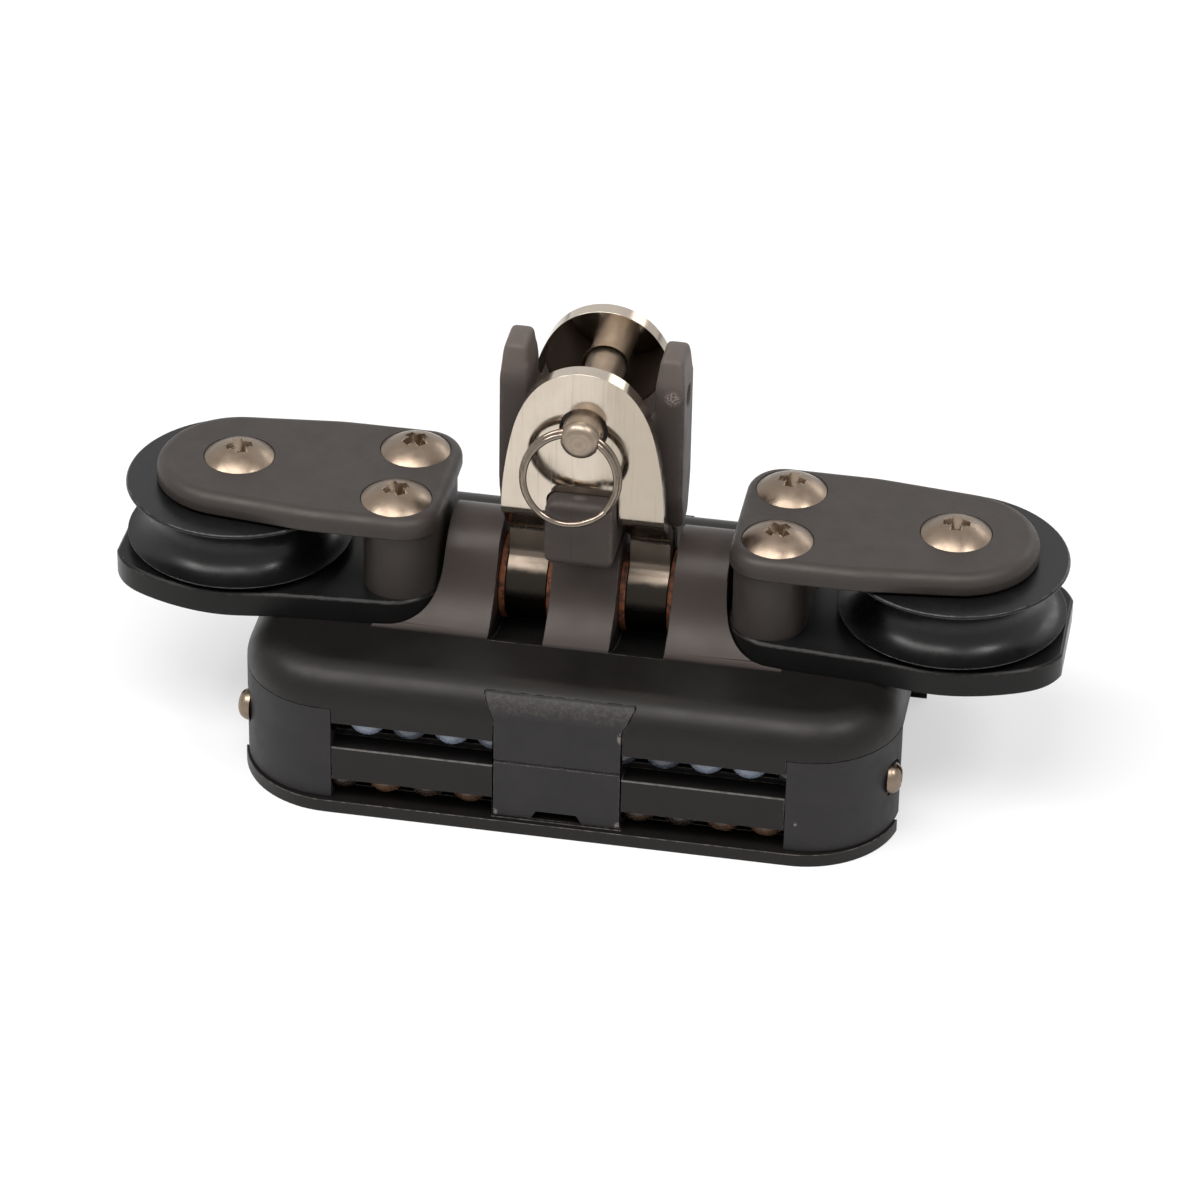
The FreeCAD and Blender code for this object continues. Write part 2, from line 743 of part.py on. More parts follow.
def strap_slot():
    """Opening of the strap for the centre ear and for the insert's tab, seen from the front."""
    step = (strap_bend_height + strap_plate_bend_height) / 2
    narrow = strap_slot_half_width
    corners = [(-strap_fork_half_width, 0, 0), (strap_fork_half_width, 0, 0),
               (strap_fork_half_width, strap_bend_height, 0), (narrow, step, 0),
               (narrow, strap_slot_top, strap_slot_corner), (-narrow, strap_slot_top, strap_slot_corner),
               (-narrow, step, 0), (-strap_fork_half_width, strap_bend_height, 0)]
    depth = strap_plate_outer_y + 1
    return plate_y(corners, -depth, depth)


def make_strap():
    """Stainless sheet bent round the axle, with two domed plates and a slot for the centre ear."""
    outer = rounded_wire(strap_section(), side_view(0), closed=False)
    ribbon = outer.makeOffset2D(strap_thickness, 0, True, True)
    ribbon.translate(vec(-strap_half_width, 0, 0))
    sheet = ribbon.extrude(vec(2 * strap_half_width, 0, 0))
    strap = sheet.common(strap_outline()).cut(strap_slot())
    depth = strap_plate_outer_y + 1
    return one_solid(strap.cut(rod_y(strap_hole_radius, -depth, depth, 0, pin_height)))


def ear_side_outline():
    """Side view of an ear of the insert: tapered to a foot below, sloped and domed above."""
    right = [(insert_ear_crease_half_depth, insert_ear_crease_height, 0),
             (insert_ear_half_depth, insert_ear_slope_height, 0),
             (insert_ear_half_depth, insert_ear_taper_height, insert_ear_taper_radius),
             (insert_ear_foot_half_depth, insert_bottom, insert_ear_foot_radius)]
    left = [(-y, z, radius) for y, z, radius in reversed(right)]
    sides = rounded_wire(right + left, side_view(-insert_half_width), closed=False)
    crease = vec(-insert_half_width, insert_ear_crease_half_depth, insert_ear_crease_height)
    dome = Part.Arc(crease, vec(crease.x, 0, insert_top), vec(crease.x, -crease.y, crease.z)).toShape()
    return Part.Face(Part.Wire(list(sides.Edges) + [dome]))


def make_insert():
    """Moulded insert that holds the tackle upright: two ears, a seat between the plates and two tabs."""
    throat_low = insert_throat_height - insert_throat_radius
    far = flange_width
    throat = plate_y([(-insert_throat_radius, insert_top, 0), (insert_throat_radius, insert_top, 0),
                      (insert_throat_radius, throat_low, insert_throat_radius),
                      (-insert_throat_radius, throat_low, insert_throat_radius)], -far, far)
    half_depth = insert_ear_half_depth
    ear_front = plate_y([(0, insert_bottom, 0),
                         (insert_half_width, insert_bottom, insert_side_radius),
                         (insert_half_width, insert_lean_height, insert_lean_radius),
                         (insert_top_half_width, insert_top, insert_top_radius),
                         (insert_throat_radius + insert_throat_lean, insert_top, insert_top_radius),
                         (insert_throat_radius, insert_lean_height, insert_lean_radius),
                         (insert_throat_radius, throat_low, 0), (0, throat_low, 0)],
                        -half_depth, half_depth)
    ear_side = ear_side_outline().extrude(vec(2 * insert_half_width, 0, 0))
    ear = ear_front.common(ear_side)
    seat_y = strap_plate_inner_y - insert_clearance
    seat = box(-insert_seat_half_width, insert_seat_half_width, -seat_y, seat_y,
               insert_seat_bottom, insert_throat_height)
    front = insert_tab_front_y
    half_width = insert_tab_half_width
    top = strap_slot_top - insert_clearance
    bottom = insert_tab_bottom
    low_radius = insert_tab_bottom_radius
    high_radius = insert_tab_top_radius
    tab_side = plate_x([(-front, bottom, low_radius), (front, bottom, low_radius),
                        (front, top, high_radius), (-front, top, high_radius)], -half_width, half_width)
    tab_front = plate_y([(-half_width, bottom, strap_slot_corner), (half_width, bottom, strap_slot_corner),
                         (half_width, top, strap_slot_corner), (-half_width, top, strap_slot_corner)],
                        -front, front)
    insert = ear.fuse([mirror_x(ear), seat, tab_side.common(tab_front)]).cut(throat)
    hole = rod_x(insert_hole_radius, insert_half_width - insert_hole_depth, insert_half_width + 1,
                 0, insert_hole_height)
    return one_solid(insert.cut([hole, mirror_x(hole)]))


def round_edges_at_y(shape, y):
    """The full circles among a shape's edges that lie at one Y."""
    return [edge for edge in shape.Edges
            if len(edge.Vertexes) == 1 and abs(edge.Vertexes[0].Point.y - y) < 1e-4]


def make_pin():
    """Clevis pin with a flat head behind, a rounded tip in front and a cross hole for the split ring."""
    head_y = strap_plate_outer_y + pin_head_gap
    length = head_y - pin_tip_y
    pin = rod_y(pin_radius, pin_tip_y, head_y, 0, pin_height)
    pin = pin.makeFillet(pin_tip_radius, round_edges_at_y(pin, pin_tip_y))
    head = rod_y(pin_head_radius, head_y, head_y + pin_head_thickness, 0, pin_height)
    head = head.makeChamfer(pin_head_chamfer, round_edges_at_y(head, head_y + pin_head_thickness))
    hole = rod_x(ring_hole_radius, -length, length, ring_hole_y, pin_height)
    pin = one_solid(pin.fuse(head).cut(hole))
    pin.rotate(vec(0, 0, pin_height), vec(0, 1, 0), ring_swing)
    return pin


def make_ring():
    """Split ring of two turns, hung through the pin and leaning on the insert's tab."""
    half = ring_wire / 2
    flat = half * math.tan(math.pi / 8)
    seam = flat * 1.75
    coil = [(seam, 0), (half, half - flat), (half, half + flat), (flat, ring_wire)]
    outline = [(r, -z) for r, z in reversed(coil[1:])] + coil
    outline += [(-r, z) for r, z in reversed(coil)] + [(-r, -z) for r, z in coil[1:]]
    ring = turned([(ring_mean_radius + r, z) for r, z in outline], 0, 0, 0)
    ring.rotate(vec(0, 0, 0), vec(1, 0, 0), 90)
    slit = box(ring_mean_radius - ring_wire, ring_mean_radius + ring_wire, -ring_wire, 0, 0, ring_slit)
    slit.rotate(vec(0, 0, 0), vec(0, 1, 0), ring_slit_angle)
    ring = ring.cut(slit)
    ring.translate(vec(0, 0, ring_sag / 2 - ring_mean_radius))
    ring.rotate(vec(0, 0, 0), vec(1, 0, 0), -ring_tilt)
    ring.translate(vec(0, ring_hole_y, pin_height))
    ring.rotate(vec(0, 0, pin_height), vec(0, 1, 0), ring_swing)
    return one_solid(ring)


def make_base_plate():
    face = Part.Face(base_outline())
    face.translate(vec(0, 0, body_height))
    plate = face.extrude(vec(0, 0, base_thickness))
    plate = plate.makeChamfer(base_edge_chamfer, edges_at(plate, at_height(base_top)))
    hub_hole = rod_z(hub_radius + fit_clearance, body_height - 1, base_top + 1, sheave_axis_x, 0)
    seat_top = body_height + hub_flange_thickness + fit_clearance
    flange_seat = rod_z(hub_flange_radius + fit_clearance, body_height - 1, seat_top, sheave_axis_x, 0)
    holes = cover_screw_holes(cover_screw_radius + fit_clearance, body_height - 1, base_top + 1)
    return one_solid(plate.cut([hub_hole, flange_seat] + holes))


def make_hub():
    """Flanged sleeve that comes up through the base plate and takes the centre screw."""
    bore = cover_screw_radius + fit_clearance
    top = cover_underside - fit_clearance
    flange_top = body_height + hub_flange_thickness
    profile = [(bore, body_height), (hub_flange_radius, body_height), (hub_flange_radius, flange_top),
               (hub_radius, flange_top), (hub_radius, top), (bore, top)]
    return turned(profile, sheave_axis_x, 0, 0)


def make_liner():
    """Bearing sleeve pressed into the sheave."""
    inner = hub_radius + fit_clearance
    outer = inner + liner_wall
    profile = [(inner, sheave_bottom), (outer, sheave_bottom), (outer, sheave_top), (inner, sheave_top)]
    return turned(profile, sheave_axis_x, 0, 0)


def make_sheave():
    """Grooved sheave with recessed faces."""
    bore = hub_radius + 2 * fit_clearance + liner_wall
    rim_low = sheave_bottom + sheave_rim_thickness
    rim_high = sheave_top - sheave_rim_thickness / 2
    middle = (rim_low + rim_high) / 2
    profile = [(bore, sheave_bottom), (sheave_recess_radius, sheave_bottom),
               (sheave_recess_radius + sheave_recess_depth, sheave_bottom + sheave_recess_depth),
               (sheave_radius - sheave_recess_depth, sheave_bottom + sheave_recess_depth),
               (sheave_radius, rim_low),
               (sheave_groove_bottom_radius, middle, sheave_radius, rim_high),
               (sheave_radius - sheave_recess_depth / 2, sheave_top), (bore, sheave_top)]
    return turned(profile, sheave_axis_x, 0, 0)


def cover_outline():
    """Plan of a cheek cover for the end at +X: a round nose that widens to a square inboard end."""
    centre = vec(sheave_axis_x, 0, 0)
    shoulder = vec(cover_shoulder_x, cover_shoulder_half_width, 0)
    away = shoulder - centre
    tangent_angle = math.atan2(away.y, away.x) - math.acos(cover_nose_radius / away.Length)
    touch = centre + vec(math.cos(tangent_angle), math.sin(tangent_angle), 0) * cover_nose_radius
    nose = vec(sheave_axis_x + cover_nose_radius, 0, 0)
    back = rounded_wire([(touch.x, touch.y, 0), (shoulder.x, shoulder.y, cover_shoulder_radius),
                         (cover_inboard_x, cover_shoulder_half_width, cover_corner_radius),
                         (cover_inboard_x, -cover_shoulder_half_width, cover_corner_radius),
                         (shoulder.x, -shoulder.y, cover_shoulder_radius), (touch.x, -touch.y, 0)],
                        plan(0), closed=False)
    return Part.Wire(list(back.Edges) + [Part.Arc(vec(touch.x, -touch.y, 0), nose, touch).toShape()])


def countersink(x, y):
    """Seat of a raised countersunk screw in the cover."""
    rim = cover_screw_head_radius + fit_clearance
    shank = cover_screw_radius + fit_clearance
    depth = (rim - shank) / math.tan(math.radians(cover_screw_cone_angle))
    top = cover_top_height - cover_screw_sink
    cone = Part.makeCone(shank, rim, depth, vec(x, y, top - depth))
    return cone.fuse([rod_z(rim, top, cover_top_height + 1, x, y), rod_z(shank, body_height, top, x, y)])


def make_cover():
    """Cast cheek cover with a wall at its inboard end that stands on the base plate."""
    face = Part.Face(cover_outline())
    face.translate(vec(0, 0, cover_underside))
    plate = face.extrude(vec(0, 0, cover_thickness))
    plate = round_height_edges(plate, cover_top_height, cover_top_radius)
    plate = round_height_edges(plate, cover_underside, cover_bottom_radius)
    inner_x = cover_inboard_x + cover_wall_inset
    outer_x = inner_x + cover_wall_length
    half_width = cover_wall_half_width
    end_radius = cover_wall_length / 2 - 0.01
    wall = plate_z([(inner_x, -half_width, end_radius), (outer_x, -half_width, end_radius),
                    (outer_x, half_width, end_radius), (inner_x, half_width, end_radius)],
                   base_top, cover_underside + 1)
    seats = [countersink(sheave_axis_x, 0)]
    for side in (1, -1):
        seats.append(countersink(cover_screw_x, side * cover_screw_y))
    return one_solid(plate.fuse(wall).cut(seats))


def make_cover_screw(x, y, bottom):
    """Raised countersunk screw with a cross recess."""
    top = cover_top_height - cover_screw_sink
    depth = (cover_screw_head_radius - cover_screw_radius) / math.tan(math.radians(cover_screw_cone_angle))
    crown = top + cover_screw_dome
    dome_shoulder = (cover_screw_head_radius * 0.55, top + cover_screw_dome * 0.72, 0, crown)
    dome = turned([(0, bottom), (cover_screw_radius, bottom), (cover_screw_radius, top - depth),
                   (cover_screw_head_radius, top), dome_shoulder], 0, 0, 0)
    half = cross_recess_length / 2
    low = half * 0.35
    floor = crown - cross_recess_depth
    wing = plate_x([(-half, crown + 1, 0), (half, crown + 1, 0), (low, floor, 0), (-low, floor, 0)],
                   -cross_recess_width / 2, cross_recess_width / 2)
    other = wing.copy()
    other.rotate(vec(0, 0, 0), vec(0, 0, 1), 90)
    screw = dome.cut(wing.fuse(other))
    screw.translate(vec(x, y, 0))
    return one_solid(screw)


def save(name, shape):
    shape.exportStep(os.path.join("parts", name + ".step"))


os.makedirs("parts", exist_ok=True)

save("car_body", make_body())
for end, end_name in ((1, "right"), (-1, "left")):
    for side, side_name in ((-1, "front"), (1, "back")):
        save("end_cap_" + side_name + "_" + end_name, make_end_cap(end, side))
save("end_cap_screws", make_cap_screws())

for side, side_name in ((-1, "front"), (1, "back")):
    save("keeper_" + side_name, make_keeper(side))
    save("upper_balls_" + side_name, make_ball_circuit(upper_first_ball_x, upper_row_height, side))
    save("lower_balls_" + side_name, make_ball_circuit(lower_first_ball_x, lower_row_height, side))

save("axle", make_axle())
near_x = centre_ear_half_width + fit_clearance
far_x = gap_outer_x - fit_clearance - washer_thickness
for name, x in (("inner_right", near_x), ("outer_right", far_x),
                ("inner_left", -near_x - washer_thickness), ("outer_left", -far_x - washer_thickness)):
    save("thrust_washer_" + name, make_washer(x))

save("strap", make_strap())
save("upright_insert", make_insert())
save("clevis_pin", make_pin())
save("split_ring", make_ring())

hub_screw_bottom = body_height + fit_clearance
long_screw_bottom = channel_roof_height + cover_screw_end_gap
long_screws = [make_cover_screw(cover_screw_x, side * cover_screw_y, long_screw_bottom) for side in (1, -1)]
unit = {
    "base_plate": make_base_plate(),
    "sheave_hub": make_hub(),
    "sheave_liner": make_liner(),
    "sheave": make_sheave(),
    "cheek_cover": make_cover(),
    "hub_screw": make_cover_screw(sheave_axis_x, 0, hub_screw_bottom),
    "cover_screws": Part.makeCompound(long_screws),
}
for name, shape in unit.items():
    save(name + "_right", shape)
    save(name + "_left", mirror_x(shape))
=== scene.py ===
import math

import bmesh
import bpy
import numpy as np
from mathutils import Matrix, Vector
from mathutils.bvhtree import BVHTree


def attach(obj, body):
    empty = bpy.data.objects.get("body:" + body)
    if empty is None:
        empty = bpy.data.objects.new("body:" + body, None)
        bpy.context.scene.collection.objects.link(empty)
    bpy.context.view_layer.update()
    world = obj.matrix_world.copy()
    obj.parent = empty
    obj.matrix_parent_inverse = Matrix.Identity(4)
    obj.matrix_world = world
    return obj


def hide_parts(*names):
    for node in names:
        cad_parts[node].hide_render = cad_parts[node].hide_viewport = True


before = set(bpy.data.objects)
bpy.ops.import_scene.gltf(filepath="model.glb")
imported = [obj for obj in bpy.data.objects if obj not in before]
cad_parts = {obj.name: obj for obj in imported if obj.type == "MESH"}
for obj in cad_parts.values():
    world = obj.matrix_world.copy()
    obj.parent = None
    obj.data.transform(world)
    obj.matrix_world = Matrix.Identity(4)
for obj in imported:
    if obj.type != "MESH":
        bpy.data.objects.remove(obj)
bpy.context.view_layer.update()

scene = bpy.context.scene
scene.view_settings.view_transform = "Standard"

MM = 0.001

# Triangles of the CAD meshes are sewn where their corners lie this close, in metres
SEWING_GAP = 0.002 * MM

# Angles between faces in degrees: one whole face below the first, a sharp edge above the
# second, and a soft edge laid along what lies above the third
WHOLE_FACE_ANGLE = 0.6
SHARP_ANGLE = 26
SOFT_EDGE_ANGLE = 28

# Places on the car that the finishes and the small pieces refer to, in metres
SHEAVE_AXIS_X = 54.3 * MM
PIN_HEIGHT = 59.5 * MM
RING_HOLE_Y = -12.55 * MM
BAR_TOP = 11.15 * MM
BLOCK_TOP = 24.0 * MM
KEEPER_SHADE_HEIGHT = 22.86 * MM
BALL_DIAMETER = 6.35 * MM

# The strap's barrel round the axle, its neck and its spread up to the plates, in millimetres
AXLE_HEIGHT = 26.5
STRAP_THICKNESS = 2.5
STRAP_BARREL = 6.6
STRAP_NECK = 3.3
NECK_START = 30.5
SPREAD_START = 37.4
SPREAD_END = 43.6

# The split ring and how it hangs in the pin's cross hole, in millimetres and degrees
PIN_RADIUS = 3.0
RING_MEAN_RADIUS = 7.0
RING_WIRE = 0.95
RING_END_TURN = 28
RING_LEAN = -14
RING_SWING = 11

# Cross recess of the cover and hub screws, in millimetres: the wings' half width in the CAD
# mesh, and then on the floor and how much wider at the top
CROSS_DEPTH = 1.9
CROSS_REACH = 2.95
CAD_WING = 0.575
WING_AT_FLOOR = 0.28
WING_FLARE = 0.6
WING_FLARE_HEIGHT = 1.7

# Middle of each cover and hub screw with the turn of its cross, in millimetres and degrees
CROSS_TURNS = [(-54.3, 0, 24), (-28.7, 7.1, 45), (-28.7, -7.1, 38),
               (28.7, 7.1, -6), (28.7, -7.1, 45), (54.3, 0, 2)]


def srgb(red, green, blue):
    """Linear colour from the eight bit values that a picture shows."""
    values = []
    for value in (red, green, blue):
        value = value / 255
        values.append(value / 12.92 if value <= 0.04045 else ((value + 0.055) / 1.055) ** 2.4)
    return (*values, 1.0)


class Tree:
    """Short calls that add nodes to one node tree and join them."""

    def __init__(self, tree):
        self.tree = tree

    def add(self, kind, inputs=None, **settings):
        node = self.tree.nodes.new(kind)
        for name, value in settings.items():
            setattr(node, name, value)
        for key, value in (inputs or {}).items():
            if isinstance(value, bpy.types.NodeSocket):
                self.tree.links.new(value, node.inputs[key])
            else:
                node.inputs[key].default_value = value
        return node

    def math(self, operation, first, second=0.0):
        return self.add("ShaderNodeMath", {0: first, 1: second}, operation=operation).outputs[0]

    def ramp(self, value, low, high, to_low=0.0, to_high=1.0):
        """Soft step of a value from low to high."""
        node = self.add("ShaderNodeMapRange", {"Value": value, "From Min": low, "From Max": high,
                                               "To Min": to_low, "To Max": to_high},
                        interpolation_type="SMOOTHSTEP")
        return node.outputs["Result"]

    def mix(self, factor, first, second):
        node = self.add("ShaderNodeMix", {0: factor, 6: first, 7: second}, data_type="RGBA")
        return node.outputs[2]


class Finish(Tree):
    """A material with one shader, which reads the place on the piece in metres."""

    def __init__(self, name, metallic=0.0, specular=0.5, tint=(1, 1, 1, 1)):
        self.material = bpy.data.materials.new(name)
        self.material.use_nodes = True
        super().__init__(self.material.node_tree)
        self.tree.nodes.clear()
        self.shader = self.add("ShaderNodeBsdfPrincipled", {
            "Metallic": metallic, "Specular IOR Level": specular, "Specular Tint": tint})
        output = self.add("ShaderNodeOutputMaterial")
        self.tree.links.new(self.shader.outputs[0], output.inputs["Surface"])
        self.place = self.add("ShaderNodeTexCoord").outputs["Object"]
        self.relief = None

    def set(self, socket, value):
        if isinstance(value, bpy.types.NodeSocket):
            self.tree.links.new(value, self.shader.inputs[socket])
        else:
            self.shader.inputs[socket].default_value = value

    def axes(self):
        """The place on the piece as its x, y and z."""
        return self.add("ShaderNodeSeparateXYZ", {0: self.place}).outputs

    def scaled(self, x=1.0, y=1.0, z=1.0, turn=(0, 0, 0), move=(0, 0, 0)):
        """The place on the piece, stretched, turned and moved for a pattern."""
        node = self.add("ShaderNodeMapping", {"Vector": self.place, "Scale": (x, y, z),
                                              "Rotation": turn, "Location": move})
        return node.outputs[0]

    def noise(self, grain, detail=3.0, rough=0.55, place=None, warp=0.0):
        """Noise from 0 to 1 with grains of about the given size in millimetres."""
        node = self.add("ShaderNodeTexNoise", {"Vector": place or self.place, "Scale": 1 / (grain * MM),
                                               "Detail": detail, "Roughness": rough,
                                               "Distortion": warp})
        return node.outputs["Fac"]

    def attribute(self, name):
        return self.add("ShaderNodeAttribute", attribute_name=name).outputs["Fac"]

    def spot(self, x, y, z, radius, squeeze=(1, 1, 1)):
        """Soft mask round one place given in millimetres."""
        centre = (-x * MM * squeeze[0], -y * MM * squeeze[1], -z * MM * squeeze[2])
        moved = self.scaled(*squeeze, move=centre)
        length = self.add("ShaderNodeVectorMath", {0: moved}, operation="LENGTH").outputs["Value"]
        return self.ramp(length, radius * MM, 0.35 * radius * MM)

    def bump(self, height, strength, depth):
        """Relief whose full height is given in millimetres; each call adds to the one before."""
        inputs = {"Height": height, "Strength": strength, "Distance": depth * MM}
        if self.relief:
            inputs["Normal"] = self.relief
        self.relief = self.add("ShaderNodeBump", inputs).outputs[0]
        self.set("Normal", self.relief)

    def turned_marks(self, radius, grain):
        """Rings of fine tool marks, from the distance to the line that the piece was turned on."""
        node = self.add("ShaderNodeTexNoise", {"W": radius, "Scale": 1 / (grain * MM), "Detail": 2.0},
                        noise_dimensions="1D")
        return node.outputs["Fac"]

    def edges(self, strength, break_up=1.2):
        """Broken mask of the worn edges."""
        broken = self.ramp(self.noise(break_up, 4.0, 0.7), 0.42, 0.62)
        return self.math("MULTIPLY", self.math("MULTIPLY", self.attribute("edge"), broken), strength)


def anodised_body():
    """Satin black hard anodising, milled lengthwise, with handling marks and a painted highlight along
    the window bars' top edge.
    """
    f = Finish("satin black anodising", specular=0.24, tint=(1.0, 0.95, 0.91, 1))
    cloud = f.noise(14, 4)
    speck = f.noise(0.35, 2, 0.6)
    milled = f.noise(0.5, 2, 0.5, f.scaled(0.02, 1, 1))
    _, depth, height = f.axes()
    boss = f.ramp(height, BLOCK_TOP, BLOCK_TOP + 0.3 * MM)
    block = f.mix(cloud, srgb(14, 13, 13), srgb(21, 19, 18))
    colour = f.mix(f.math("MULTIPLY", boss, 0.85), block, srgb(56, 48, 45))
    colour = f.mix(f.ramp(speck, 0.62, 0.78, 0, 0.22), colour, srgb(62, 57, 54))
    colour = f.mix(f.edges(0.7), colour, srgb(104, 97, 92))
    # Painted highlight: a pale line, broken into patches, along the window bars' top edge on the front
    # and back faces.
    at_bar = f.ramp(f.math("ABSOLUTE", f.math("SUBTRACT", height, BAR_TOP)), 0.2 * MM, 0.08 * MM)
    at_face = f.ramp(f.math("ABSOLUTE", depth), 28.6 * MM, 28.85 * MM)
    patches = f.ramp(f.noise(1.6, 3), 0.3, 0.6, 0.45, 0.9)
    bar_edge_highlight = f.math("MULTIPLY", f.math("MULTIPLY", at_bar, at_face), patches)
    colour = f.mix(bar_edge_highlight, colour, srgb(104, 101, 98))
    nick = f.math("MULTIPLY", f.spot(-2.2, -8.2, 34.4, 1.5, (1.6, 1, 1)),
                  f.ramp(f.noise(0.3, 2), 0.35, 0.6))
    colour = f.mix(nick, colour, srgb(120, 110, 104))
    f.set("Base Color", colour)
    rough = f.math("ADD", f.ramp(f.noise(6, 4), 0.2, 0.8, 0.32, 0.44), f.math("MULTIPLY", speck, 0.06))
    f.set("Roughness", rough)
    f.bump(milled, 0.10, 0.02)
    f.bump(speck, 0.12, 0.015)
    return f.material


def anodised_plate():
    """Smoother satin black of the plates under the sheaves."""
    f = Finish("smooth black anodising", specular=0.17, tint=(1.0, 0.97, 0.94, 1))
    speck = f.noise(0.3, 2, 0.6)
    colour = f.mix(f.noise(10, 4), srgb(15, 15, 15), srgb(22, 21, 21))
    colour = f.mix(f.edges(0.45), colour, srgb(82, 79, 76))
    f.set("Base Color", colour)
    f.set("Roughness", f.ramp(f.noise(5, 4), 0.2, 0.8, 0.28, 0.38))
    f.bump(speck, 0.08, 0.012)
    return f.material


def moulded_cap():
    """Dark grey moulded plastic of the end caps and keepers, with bright chips, a scuffed band with
    painted highlight on the keepers' shoulder and painted shade along their top.
    """
    f = Finish("dark moulded plastic", specular=0.24, tint=(1.0, 0.97, 0.96, 1))
    grain = f.noise(0.22, 3, 0.6)
    colour = f.mix(f.noise(7, 4), srgb(30, 29, 30), srgb(39, 37, 38))
    colour = f.mix(f.edges(0.8, 0.5), colour, srgb(98, 92, 89))
    chips = [f.spot(-9.4, -29.2, 3.1, 0.8), f.spot(9.4, -29.2, 3.1, 0.8),
             f.spot(9.6, -28.9, 18.6, 1.3, (1.6, 1, 1)), f.spot(35.8, -29, 6.9, 0.6, (2, 1, 1))]
    for chip in chips:
        broken = f.math("MULTIPLY", chip, f.ramp(f.noise(0.35, 3), 0.4, 0.55))
        colour = f.mix(broken, colour, srgb(116, 109, 104))
    height = f.axes()[2]
    # Partly scuffs and partly painted highlight: lighter speckles on the keepers' upward-facing
    # shoulder.
    scuff_and_highlight_speckle = f.ramp(f.noise(0.6, 4, 0.75), 0.36, 0.7)
    shoulder_scuff_and_highlight = f.math("MULTIPLY", f.ramp(height, 19.8 * MM, 21.4 * MM), scuff_and_highlight_speckle)
    colour = f.mix(f.math("MULTIPLY", shoulder_scuff_and_highlight, 0.45), colour, srgb(76, 71, 67))
    # Painted shade: the keepers are painted near black above this height, standing in for the shaded
    # gap at their top.
    colour = f.mix(f.ramp(height, KEEPER_SHADE_HEIGHT, KEEPER_SHADE_HEIGHT + 0.06 * MM), colour, srgb(6, 6, 6))
    f.set("Base Color", colour)
    f.set("Roughness", f.ramp(f.noise(3, 4), 0.2, 0.8, 0.46, 0.6))
    f.bump(grain, 0.22, 0.02)
    return f.material


def cast_cover():
    """Brown-grey cover with a fine cast skin and rubbed edges."""
    f = Finish("cast cover", specular=0.34, tint=(1.0, 0.93, 0.88, 1))
    skin = f.noise(0.55, 3, 0.55)
    fine = f.noise(0.16, 2, 0.6)
    colour = f.mix(f.noise(9, 5, 0.6), srgb(38, 34, 32), srgb(50, 45, 42))
    colour = f.mix(f.ramp(fine, 0.6, 0.8, 0, 0.3), colour, srgb(84, 76, 71))
    colour = f.mix(f.edges(0.7), colour, srgb(112, 103, 96))
    f.set("Base Color", colour)
    f.set("Roughness", f.ramp(f.noise(4, 4), 0.25, 0.75, 0.42, 0.56))
    f.bump(skin, 0.4, 0.05)
    f.bump(fine, 0.15, 0.015)
    return f.material


def insert_moulding():
    """Dark grey moulded insert with a painted highlight towards its tops, and a little lighter where it
    is handled.
    """
    f = Finish("insert moulding", specular=0.3, tint=(1.0, 0.94, 0.9, 1))
    grain = f.noise(0.25, 3, 0.6)
    side, _, height = f.axes()
    colour = f.mix(f.noise(8, 5), srgb(49, 43, 41), srgb(61, 54, 51))
    # Painted highlight: lighter towards the ear tops, which face the overhead lamp.
    colour = f.mix(f.ramp(height, 60.5 * MM, 66 * MM, 0, 0.75), colour, srgb(88, 79, 74))
    colour = f.mix(f.edges(0.6, 1.5), colour, srgb(98, 90, 86))
    scuff = f.math("MULTIPLY", f.spot(12.0, -4.3, 62.5, 1.6), f.ramp(f.noise(0.3, 3), 0.42, 0.6))
    flaw = f.spot(-0.3, -11.5, 48.3, 0.9, (0.6, 1, 1))
    colour = f.mix(f.math("MULTIPLY", scuff, 0.8), colour, srgb(140, 128, 122))
    colour = f.mix(f.math("MULTIPLY", flaw, 0.4), colour, srgb(110, 100, 94))
    seam = f.ramp(f.math("ABSOLUTE", f.math("ADD", side, 1.1 * MM)), 0.12 * MM, 0.03 * MM)
    f.set("Base Color", f.mix(f.math("MULTIPLY", seam, 0.35), colour, srgb(36, 33, 32)))
    f.set("Roughness", f.ramp(f.noise(4, 4), 0.2, 0.8, 0.5, 0.64))
    f.bump(grain, 0.2, 0.02)
    f.bump(seam, 0.3, 0.03)
    return f.material


def glossy_sheave():
    """Turned black plastic with a polished groove."""
    f = Finish("glossy black plastic", specular=0.28, tint=(1.0, 0.98, 0.96, 1))
    side, depth, _ = f.axes()
    side = f.math("SUBTRACT", f.math("ABSOLUTE", side), SHEAVE_AXIS_X)
    squares = f.math("ADD", f.math("MULTIPLY", side, side), f.math("MULTIPLY", depth, depth))
    radius = f.math("SQRT", squares)
    marks = f.turned_marks(radius, 0.25)
    colour = f.mix(f.noise(6, 4), srgb(13, 13, 14), srgb(19, 19, 20))
    f.set("Base Color", f.mix(f.edges(0.5), colour, srgb(88, 86, 84)))
    f.set("Roughness", f.ramp(f.noise(3, 4), 0.2, 0.8, 0.24, 0.36))
    f.bump(marks, 0.08, 0.012)
    f.bump(f.noise(0.3, 2), 0.06, 0.01)
    return f.material


